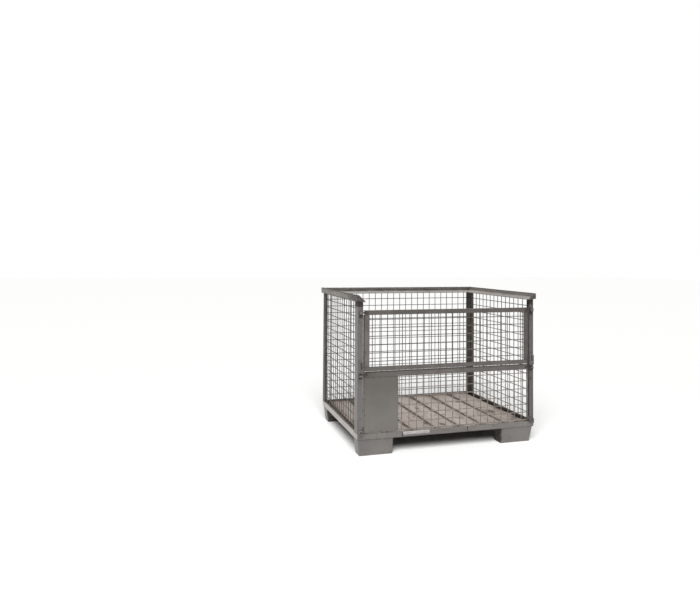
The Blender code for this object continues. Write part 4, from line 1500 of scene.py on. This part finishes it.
@dataclass(frozen=True)
class Floor:
    """The board floor: worn softwood boards, nailed at the rails and bearers.

    board_ends says how far a board's sides are drawn in at each distance from an end,
    nail_head is the profile of a head, and stains holds the darkest spots as (x, y,
    spread). darkening is how dark the painted shade at the back gets, from the share
    darkening_from of the depth.
    """

    count: int = 7
    columns: int = 44
    rows: int = 72
    edge: float = 0.0022
    cut: float = 0.0006
    groove: float = 0.0005
    cup: float = 0.0009
    end_wear: float = 0.0006
    nail_inset: float = 0.030
    nail_front: float = 0.012
    nail_back: float = 0.014
    nail_stray: float = 0.0022
    nail_sink: float = 0.0010
    bearer_y: float = 0.130
    nail_stain: tuple[float, float] = (0.007, 0.022)
    stain_stretch: float = 1.6
    grain: float = 0.0085
    drift: float = 0.16
    end_reach: float = 0.02
    edge_dirt: float = 0.017
    front_dirt: float = 0.010
    back_end_shade: float = 0.030
    darkening: float = 0.55
    darkening_from: float = 0.45
    dirt_depth: float = 0.0045
    lump: float = 0.022
    lump_height: float = 0.0015
    clearance: float = 0.0003
    board_ends: tuple[tuple[float, float], ...] = ((0.0, 0.0007), (0.0006, 0.0002), (0.002, 0.0))
    nail_head: tuple[tuple[float, float], ...] = (
        (0.0048, -0.0012), (0.0048, 0.0001), (0.0042, 0.0006), (0.0026, 0.0010), (0.0008, 0.0011),
    )
    stains: tuple[tuple[float, float, float], ...] = (
        (-0.105, -0.283, 0.019), (-0.007, -0.322, 0.026), (-0.011, 0.055, 0.020),
        (0.358, 0.152, 0.026), (0.460, -0.130, 0.040), (0.560, -0.080, 0.045),
        (0.540, -0.300, 0.030), (0.500, -0.368, 0.040), (-0.180, 0.345, 0.035),
    )

    def nails(self, index: int) -> Array:
        """Set a board's nails, two at each rail and bearer, each a little astray.

        Args:
            index: Number of the board from the left.

        Returns:
            Their places on its top, (n, 3).
        """
        low, high = extent(f"floor_board_{index}")
        source = np.random.default_rng(50 + index)
        rows = [low[1] + self.nail_front, -self.bearer_y, self.bearer_y, high[1] - self.nail_back]
        across = [low[0] + self.nail_inset, high[0] - self.nail_inset]
        places = np.stack(np.meshgrid(across, rows), axis=-1).reshape(-1, 2)
        places = places + source.normal(0, self.nail_stray, places.shape)
        return np.column_stack([places, np.full(len(places), high[2])])

    def section(self, width: float, height: float) -> Array:
        """Return a board's section, with rounds at its upper edges and a fine grid between.

        Args:
            width: Width of the board.
            height: Thickness of the board.

        Returns:
            Points as (n, 2).
        """
        turn = np.linspace(0, math.pi / 2, 4)
        quarter = self.edge * np.stack([np.sin(turn), 1 - np.cos(turn)], axis=1)
        inner = np.linspace(self.edge, width - self.edge, self.columns)[1:-1]
        top = np.column_stack([inner[::-1], np.full(len(inner), height)])
        right = np.column_stack([width - self.edge + quarter[:, 0], height - quarter[:, 1]])[::-1]
        left = np.column_stack([self.edge - quarter[:, 0], height - quarter[:, 1]])
        cut = self.cut
        bottom = np.array([[cut, 0.0], [width - cut, 0.0], [width, cut]])
        return np.vstack([bottom, right, top, left, [[0.0, cut]]])

    def marks(self, index: int, rings: Array, x: Array, y: Array) -> tuple[Array, Array]:
        """Return how dark a board's edges and ends are and how stained and shaded its top is.

        Edges darken by e^(-distance / reach), more towards the back, and both ends darken
        with painted shade. Stains are bells round the nails and the spots, and the back half
        darkens with painted shade.

        Args:
            index: Number of the board.
            rings: Its points.
            x: Their distance from its left edge.
            y: Their distance from its front end.

        Returns:
            Both as arrays like x, from 0 to 1.
        """
        width, depth = x.max(), y.max()
        away = rings[:, :, None, :2] - self.nails(index)[None, None, :, :2]
        stain = np.exp(-((away / self.nail_stain) ** 2).sum(axis=-1)).max(axis=-1)
        rim = (0.75 + 0.5 * y / depth) * np.exp(-np.minimum(x, width - x) / self.edge_dirt)
        # Painted shade at the front and back ends
        rim = rim + np.exp(-y / self.front_dirt) + 1.2 * np.exp(-(depth - y) / self.back_end_shade)
        # Painted shade towards the back
        darkening = self.darkening * np.clip(y / depth - self.darkening_from, 0, 1) * (index > 1)
        for spot_x, spot_y, spread in self.stains:
            along = (rings[..., 1] - spot_y) / self.stain_stretch
            near = (rings[..., 0] - spot_x) ** 2 + along ** 2
            darkening = np.maximum(darkening, np.exp(-near / spread ** 2))
        return np.clip(rim, 0, 1), np.maximum(stain, darkening)

    def board(self, index: int) -> Surface:
        """Return one board: a rounded section with a worn top, carried along Y.

        The top sinks towards the middle line by cup * (1 - (2x / width - 1)^2), by the
        groove depth times a power of waves across the grain, whose phase wanders along
        it, and by end_wear more at each end, where loads drag over it.

        Args:
            index: Number of the board from the left.

        Returns:
            The board; wear marks its dark edges and its ends, which carry
            painted shade, and grime its stains and the painted shade at the back.
        """
        low, high = extent(f"floor_board_{index}")
        width, depth, height = high - low
        ring = self.section(width, height)
        ends, drawn_in = np.array(self.board_ends).T
        between = np.linspace(3 * ends[-1], depth - 3 * ends[-1], self.rows)
        x, y = np.meshgrid(ring[:, 0], np.concatenate([ends, between, depth - ends[::-1]]))
        z = np.broadcast_to(ring[:, 1], x.shape)
        flat = np.stack([x + 0.31 * index, y], axis=-1)
        drift = swell_field(flat * [1.0, 0.45], self.drift, 0.9, 70 + index)
        fibre_place = np.stack([x, y * 0.02 + drift * 0.006], axis=-1)
        fibres = swell_field(fibre_place, self.grain, 1.0, index)
        worn = self.groove * np.clip(fibres, 0, 1) ** 1.5
        worn = worn + self.cup * (1 - (2 * x / width - 1) ** 2)
        worn = worn + self.end_wear * np.exp(-np.minimum(y, depth - y) / self.end_reach)
        is_top = z > height - self.edge * 1.01
        z = np.where(is_top, z - worn, z)
        near = np.concatenate([drawn_in, np.zeros(self.rows), drawn_in[::-1]])
        aside = x + near[:, None] * np.sign(width / 2 - x)
        rings = low + np.stack([aside, y, z], axis=-1)
        dark_edges, stains_and_shade = self.marks(index, rings, aside, y)
        return loft(rings, dark_edges, np.where(is_top, stains_and_shade, 0.0))

    def seam_dirt_and_shade(self, index: int) -> Surface:
        """Return the dirt packed between a board and the next one; it also fills the gap with
        painted shade.

        Its top lies dirt_depth under the boards and sags in the middle of the seam by a
        third of that, with smooth random lumps on it.

        Args:
            index: Number of the board to the left of the seam.

        Returns:
            The dirt as a closed bar along Y.
        """
        low, high = extent(f"floor_board_{index}")
        after, _ = extent(f"floor_board_{index + 1}")
        left, right = high[0] + self.clearance, after[0] - self.clearance
        share = np.linspace(0, 1, 5)
        along = np.linspace(low[1] + 0.001, high[1] - 0.001, 120)
        x, y = np.meshgrid(left + (right - left) * share, along)
        sag = self.dirt_depth * (1 + np.sin(math.pi * share) / 3)
        lumps = swell_field(np.stack([x, y], axis=-1), self.lump, self.lump_height, 90 + index)
        top = np.stack([x, y, high[2] - sag + lumps], axis=-1)
        bottom = top[:, ::-1].copy()
        bottom[..., 2] = low[2] + 0.001
        return loft(np.concatenate([top, bottom], axis=1))

    def build(self, dresser: Dresser) -> None:
        """Build and dress the boards, the dirt and painted shade between them and the heads of
        their nails.

        Args:
            dresser: Puts the pieces into Blender.
        """
        places = []
        for index in range(1, self.count + 1):
            node = f"floor_board_{index}"
            dresser.put(f"board_{index}", self.board(index), SOFTWOOD, Body.FRAME, [node])
            places.extend(self.nails(index) - [0, 0, self.nail_sink])
        dirt_and_shade = joined([self.seam_dirt_and_shade(index) for index in range(1, self.count)])
        dresser.put("seam_dirt_and_shade", dirt_and_shade, SEAM_DIRT_AND_SHADE)
        head = turned(np.array(self.nail_head), np.zeros(3), Z_AXIS, X_AXIS, 12)
        heads = joined([replace(head, points=head.points + place) for place in places])
        dresser.put("board_nails", heads, NAIL_STEEL)


@dataclass(frozen=True)
class PostFittings:
    """Guides and latch hooks on the front posts."""

    wall: float = 0.003
    seat: float = 0.0003
    pin_radius: float = 0.004
    corner: float = 0.006
    corner_inside: float = 0.0015
    cut: float = 0.001
    face_edge: float = 0.0007
    slot_width: float = 0.006
    tail_depth: float = 0.004
    tail_corner: float = 0.010
    hook_edge: float = 0.0004
    hook_heel: float = 0.002

    def guide(self, level: Level, side: Side) -> Surface:
        """Return a guide: a C-shaped wall round the pocket and a slotted front plate on it.

        The wall is a C outline carried from the post to the plate. The plate is a closed
        band of rings: outline, slot, slot behind, outline behind.

        Args:
            level: Upper or lower flap.
            side: Left or right.

        Returns:
            The guide.
        """
        low, high = extent(f"{level.word}_guide_{side.word}")
        pin_low, _ = extent(f"{level.word}_pivot_pin_{side.word}")
        width, reach, height = high - low
        floor = pin_low[2] - self.seat - low[2]
        lid = height - self.wall
        wall, corner, inside, cut = self.wall, self.corner, self.corner_inside, self.cut
        corners = (
            (0, 0), (width, 0), (width, height), (0, height), (0, lid),
            (width - wall, lid), (width - wall, floor), (0, floor),
        )
        outline = Outline(corners, (corner, corner, corner, cut, cut, inside, inside, cut))
        inner_x = high[0] if side is Side.LEFT else low[0]
        across = side.value * X_AXIS
        back = Placement(np.array([inner_x, high[1], low[2]]), across, Z_AXIS, -Y_AXIS)
        shell = bar(outline, back, reach - wall + self.seat, 0.0003)
        half = self.slot_width / 2
        middle = width / 2
        axis = floor + self.seat + self.pin_radius
        travel = lid - floor - 2 * (self.seat + self.pin_radius)
        slot = rectangle((middle - half, axis - half), (middle + half, axis + travel + half),
                         half * 0.96, 6)
        face = rectangle((0, 0), (width, height), corner, 6)
        edge = self.face_edge
        steps = (
            (face, edge, 0.0), (face, 0.0, edge), (face, 0.0, wall), (slot, 0.0, wall),
            (slot, 0.0, edge), (slot, -edge, 0.0),
        )
        front = Placement(np.array([inner_x, low[1], low[2]]), across, Z_AXIS, Y_AXIS)
        wear = np.array([1.0, 1.0, 0.0, 0.0, 1.0, 1.0])[:, None]
        return joined([shell, loft(front.rings(steps), wear, closed=True)])

    def hook(self, level: Level, side: Side) -> Surface:
        """Return a latch hook: a strip bent out to a cradle, its tail rounded.

        The strip's section is carried across its width. Near the tail's end a point at
        height z starts and ends r - sqrt(r^2 - (r - z)^2) in from the sides, with r the
        radius of the tail's corners.

        Args:
            level: Upper or lower flap.
            side: Left or right.

        Returns:
            The hook.
        """
        low, high = extent(f"{level.word}_hook_{side.word}")
        pin_low, _ = extent(f"{level.word}_latch_pin_{side.word}")
        width, reach, height = high - low
        shelf = pin_low[2] - self.seat - low[2]
        wall, tail, radius = self.wall, self.tail_depth, self.tail_corner
        crook = shelf - wall
        tail_heights = np.linspace(0.0, radius, 9)
        corners = (
            *((0.0, step) for step in tail_heights),
            (0.0, shelf), (reach - wall, shelf), (reach - wall, height), (reach, height),
            (reach, crook), (tail, crook - (reach - tail)),
            *((tail, step) for step in tail_heights[::-1]),
        )
        cradle = self.pin_radius + self.seat
        small = (self.hook_edge,) * len(tail_heights)
        lip = 0.4 * wall
        radii = (*small, self.hook_edge, cradle, lip, lip, wall, self.hook_heel, *small)

        def drawn_in(ring: Array) -> Array:
            """Return how far the tail's round draws each point in."""
            missing = np.clip(radius - ring[:, 1], 0, radius * 0.985)
            return radius - np.sqrt(radius ** 2 - missing ** 2)

        place = Placement(np.array([low[0], high[1], low[2]]), -Y_AXIS, Z_AXIS, X_AXIS)
        return bar(Outline(corners, radii, 3), place, width, start=drawn_in,
                   end=lambda ring: width - drawn_in(ring))

    def build(self, dresser: Dresser) -> None:
        """Build and dress the guides and hooks of both flaps.

        Args:
            dresser: Puts the pieces into Blender.
        """
        for level in Level:
            for side in Side:
                plain = POST_FINISHES[Depth.FRONT, side]
                finish = GUIDE_PAINT if level is Level.UPPER else plain
                dresser.dress(f"{level.word}_guide_{side.word}", self.guide(level, side), finish)
                dresser.dress(f"{level.word}_hook_{side.word}", self.hook(level, side), plain)


@dataclass(frozen=True)
class Flap:
    """What both flaps share: angle bars, a wire mat, ears, latch pins and pivot pins."""

    level: Level
    mat: WireMat
    mat_edge: float
    seed: int
    wall: float = 0.003
    heel: float = 0.002
    root: float = 0.002

    def dress_bar(self, dresser: Dresser, node: str, leg_at_top: bool) -> None:
        """Build and dress a level angle bar: its face in front, its leg inwards at one edge.

        Args:
            dresser: Puts the piece into Blender.
            node: Its node.
            leg_at_top: Whether the leg is at the upper edge.
        """
        low, high = extent(node)
        length, leg, face = high - low
        outline = angle_bar(face, leg, self.wall, self.heel, self.root)
        start = np.array([low[0], low[1], high[2] if leg_at_top else low[2]])
        place = Placement(start, -Z_AXIS if leg_at_top else Z_AXIS, Y_AXIS, X_AXIS)
        surface = bar(outline, place, length, steps=20)
        dresser.dress(node, surface, BAR_FINISHES[node], self.level.flap)

    def dress_pin(self, dresser: Dresser, node: str, body: Body) -> None:
        """Build and dress a round pin along X with chamfered ends.

        Args:
            dresser: Puts the piece into Blender.
            node: Its node.
            body: Body that carries it.
        """
        low, high = extent(node)
        length, _, across = high - low
        radius, point = across / 2, 0.0006
        cut = 0.25 * radius
        profile = np.array([
            [point, 0.0], [radius - cut, 0.0], [radius, cut], [radius, length - cut],
            [radius - cut, length], [point, length],
        ])
        origin = (low + high) / 2
        origin[0] = low[0]
        dresser.dress(node, turned(profile, origin, X_AXIS, Z_AXIS, 24), PIN_STEEL, body)

    def build(self, dresser: Dresser) -> None:
        """Build and dress the top bar, the mat, the pins and the ears.

        Args:
            dresser: Puts the pieces into Blender.
        """
        word = self.level.word
        self.dress_bar(dresser, word + "_top_bar", True)
        node = word + "_mesh"
        mat = self.mat.surface(node, Wall.FRONT, self.mat_edge, self.seed)
        dresser.put(word + "_wire_mat", mat, MAT_FINISHES[self.level], self.level.flap, [node])
        for side in Side:
            self.dress_pin(dresser, f"{word}_latch_pin_{side.word}", self.level.flap)
            self.dress_pin(dresser, f"{word}_pivot_pin_{side.word}", self.level.pins)
            dresser.repaint(f"{word}_ear_{side.word}", FLAP_PAINT)


@dataclass(frozen=True)
class UpperFlap(Flap):
    """The upper flap, with a full angle frame."""

    def stile(self, side: Side) -> Surface:
        """Return an upright angle at the end of the flap.

        Args:
            side: Left or right.

        Returns:
            The stile.
        """
        low, high = extent("upper_stile_" + side.word)
        face, leg, height = high - low
        outline = angle_bar(face, leg, self.wall, self.heel, self.root)
        start = Corner(Depth.FRONT, side).outermost(low, high)
        return bar(outline, Placement(start, -side.value * X_AXIS, Y_AXIS, Z_AXIS), height, steps=8)

    def build(self, dresser: Dresser) -> None:
        """Build and dress the flap.

        Args:
            dresser: Puts the pieces into Blender.
        """
        super().build(dresser)
        self.dress_bar(dresser, "upper_bottom_bar", False)
        for side in Side:
            dresser.dress("upper_stile_" + side.word, self.stile(side), STILE_FINISHES[side],
                          self.level.flap)


@dataclass(frozen=True)
class LowerFlap(Flap):
    """The lower flap, with the bare document plate and the strip at its edge."""

    border: float = 0.009
    slope: float = 0.0012
    flat: float = 0.020
    lap: float = 0.008
    lap_gap: float = 0.0002
    rise: float = 0.0012
    step: float = 0.0007
    corner: float = 0.004
    edge: float = 0.0004
    strip_above_guide: float = 0.030
    strip_below_bar: float = 0.002

    def plate(self) -> Surface:
        """Return the document plate: a thin sheet whose field is pressed back a little.

        Rings of the same rounded rectangle are drawn in from the edge and set to the
        depth of the face, the border's slope and the field.

        Returns:
            The plate; grime rises with its height, so it is darker towards the top.
        """
        low, high = extent("document_plate")
        high[2] += self.rise
        width, thickness, height = high - low
        outline = rectangle((0, 0), (width, height), self.corner, 5)
        edge, border = self.edge, self.border
        steps = (
            (outline, edge, thickness), (outline, 0.0, thickness - edge), (outline, 0.0, edge),
            (outline, edge, 0.0), (outline, border, 0.0),
            (outline, border + self.slope, self.step), (outline, border + self.flat, self.step),
        )
        rings = Placement(low, X_AXIS, Z_AXIS, Y_AXIS).rings(steps)
        surface = loft(rings, np.array([1.0, 1.0, 1.0, 1.0, 0.2, 0.0, 0.0])[:, None])
        return replace(surface, grime=(surface.points[:, 2] - low[2]) / height)

    def edge_strip(self) -> Surface:
        """Make the strip that laps from the plate and the bar to the post, above the guide.

        Returns:
            The strip; grime rises with its height, so it is darker towards the top.
        """
        low, high = extent("document_plate")
        bottom = extent("lower_guide_left")[1][2] + self.strip_above_guide
        top = extent("lower_top_bar")[1][2] - self.strip_below_bar
        corner = np.array([low[0] - self.lap - self.lap_gap, low[1], bottom])
        outline = rectangle((0, 0), (self.lap, high[1] - low[1]), 0.0006)
        place = Placement(corner, X_AXIS, Y_AXIS, Z_AXIS)
        surface = bar(outline, place, top - bottom, self.edge)
        return replace(surface, grime=(surface.points[:, 2] - low[2]) / (top - low[2]))

    def build(self, dresser: Dresser) -> None:
        """Build and dress the flap.

        Args:
            dresser: Puts the pieces into Blender.
        """
        super().build(dresser)
        body = self.level.flap
        dresser.dress("document_plate", self.plate(), PLATE_PAINT, body)
        dresser.put("plate_edge_strip", self.edge_strip(), PLATE_PAINT, body)


def stand(name: str, data: bpy.types.ID, axes: Sequence[Array], place: Array) -> bpy.types.Object:
    """Set a light or a camera up in the scene.

    Args:
        name: Name of the object.
        data: Its data.
        axes: The ways of its own X, Y and Z; it looks against Z.
        place: Where it stands.

    Returns:
        The object.
    """
    turn = np.eye(4)
    turn[:3, :3] = np.stack(axes, axis=1)
    turn[:3, 3] = place
    thing = bpy.data.objects.new(name, data)
    thing.matrix_world = Matrix(turn.tolist())
    bpy.context.scene.collection.objects.link(thing)
    return thing


@dataclass(frozen=True)
class Lamp:
    """A distant soft light.

    towards is where it shines from, seen from the pallet, strength is in watts per square
    metre and softness is the angle that it spans, in degrees.
    """

    name: str
    towards: tuple[float, float, float]
    strength: float
    softness: float

    def build(self, receivers: bpy.types.Collection) -> None:
        """Add the light.

        Args:
            receivers: What it shines on, or leaves out where the collection says so.
        """
        data = bpy.data.lights.new(self.name, "SUN")
        data.energy = self.strength
        data.angle = math.radians(self.softness)
        away = unit(np.array(self.towards))
        aside = unit(np.cross(Z_AXIS, away))
        light = stand(self.name, data, (aside, np.cross(away, aside), away), away * 6)
        light.light_linking.receiver_collection = receivers


@dataclass(frozen=True)
class Studio:
    """The pale floor, the white surroundings, soft lights and the camera of the photograph."""

    place: tuple[float, float, float] = (-1.64296, -3.48580, 1.18501)
    yaw: float = math.radians(15.1005)
    pitch: float = math.radians(1.3699)
    roll: float = math.radians(0.4484)
    focal: float = 538.714 / 700
    centre: tuple[float, float] = (325.882, 246.008)
    picture: tuple[int, int] = (700, 600)
    sensor: float = 36.0
    floor_size: float = 60.0
    sky: float = 0.12
    wash: Lamp = Lamp("floor_wash", (-0.45, -0.93, 1.03), 4.6, 36.5)
    softboxes: tuple[Lamp, ...] = (
        Lamp("overhead_softbox", (0.0, -0.02, 1.0), 4.2, 80.0),
        Lamp("left_softbox", (-1.0, 0.1, 0.9), 0.35, 60.0),
        Lamp("right_softbox", (1.0, 0.35, 0.9), 0.25, 60.0),
    )

    def camera(self) -> None:
        """Add the camera: position, yaw, pitch, roll and image centre of the photograph.

        The shift is the distance of the optical centre from the picture's middle, over
        the picture's width.
        """
        data = bpy.data.cameras.new("photo_camera")
        data.sensor_width = self.sensor
        data.lens = self.focal * self.sensor
        data.shift_x = (self.picture[0] / 2 - self.centre[0]) / self.picture[0]
        data.shift_y = -(self.picture[1] / 2 - self.centre[1]) / self.picture[0]
        data.clip_end = 200.0
        forward = np.array([
            math.sin(self.yaw) * math.cos(self.pitch),
            math.cos(self.yaw) * math.cos(self.pitch),
            math.sin(self.pitch),
        ])
        level = unit(np.cross(forward, Z_AXIS))
        upright = np.cross(level, forward)
        right = level * math.cos(self.roll) + upright * math.sin(self.roll)
        above = upright * math.cos(self.roll) - level * math.sin(self.roll)
        axes = (right, above, -forward)
        bpy.context.scene.camera = stand("photo_camera", data, axes, np.array(self.place))

    def surroundings(self) -> None:
        """Light the scene from a white sky that the camera sees as plain white."""
        world = bpy.data.worlds.new("white_studio")
        world.use_nodes = True
        tree = world.node_tree
        back = tree.nodes["Background"]
        seen = add_node(tree, "LightPath", {}).outputs["Is Camera Ray"]
        level = add_node(tree, "MapRange", {"Value": seen, "To Min": self.sky, "To Max": 1.0})
        tree.links.new(level.outputs[0], back.inputs["Strength"])
        back.inputs["Color"].default_value = (1.0, 1.0, 1.0, 1.0)
        bpy.context.scene.world = world

    def ground(self) -> bpy.types.Object:
        """Add the pale floor, a flat sheet under the feet.

        Returns:
            The floor.
        """
        half = self.floor_size / 2
        mesh = bpy.data.meshes.new("studio_floor")
        corners = [(-half, -half, 0), (half, -half, 0), (half, half, 0), (-half, half, 0)]
        mesh.from_pydata(corners, [], [(0, 1, 2, 3)])
        material = bpy.data.materials.new("white_studio_floor")
        material.use_nodes = True
        shader = material.node_tree.nodes["Principled BSDF"]
        shader.inputs["Base Color"].default_value = linear("#f4f4f3")
        shader.inputs["Roughness"].default_value = 0.7
        shader.inputs["Specular IOR Level"].default_value = 0.1
        mesh.materials.append(material)
        floor = bpy.data.objects.new("studio_floor", mesh)
        bpy.context.scene.collection.objects.link(floor)
        return floor

    def build(self) -> None:
        """Set up floor, light and camera.

        The floor has a light of its own, as a studio's background has, so that it stays
        white without glare on the steel. The softboxes leave it out.
        """
        self.camera()
        floor = self.ground()
        self.surroundings()
        washed = bpy.data.collections.new("floor_alone")
        washed.objects.link(floor)
        self.wash.build(washed)
        spared = bpy.data.collections.new("all_but_floor")
        spared.objects.link(floor)
        spared.collection_objects[0].light_linking.link_state = "EXCLUDE"
        for softbox in self.softboxes:
            softbox.build(spared)
        bpy.context.scene.view_settings.view_transform = "Standard"


def main() -> None:
    """Dress the pallet, one sub-assembly after the other."""
    logging.basicConfig(level=logging.INFO, format="%(message)s")
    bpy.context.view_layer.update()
    dresser = Dresser()
    Studio().build()
    BaseFrame().build(dresser)
    Floor().build(dresser)
    rim = Rim()
    rim.build(dresser)
    Posts(rim).build(dresser)
    mat = WireMat()
    mat.build(dresser)
    PostFittings().build(dresser)
    UpperFlap(Level.UPPER, mat, mat_edge=0.008, seed=31).build(dresser)
    LowerFlap(Level.LOWER, mat, mat_edge=0.006, seed=37).build(dresser)


if __name__ == "__main__":
    main()
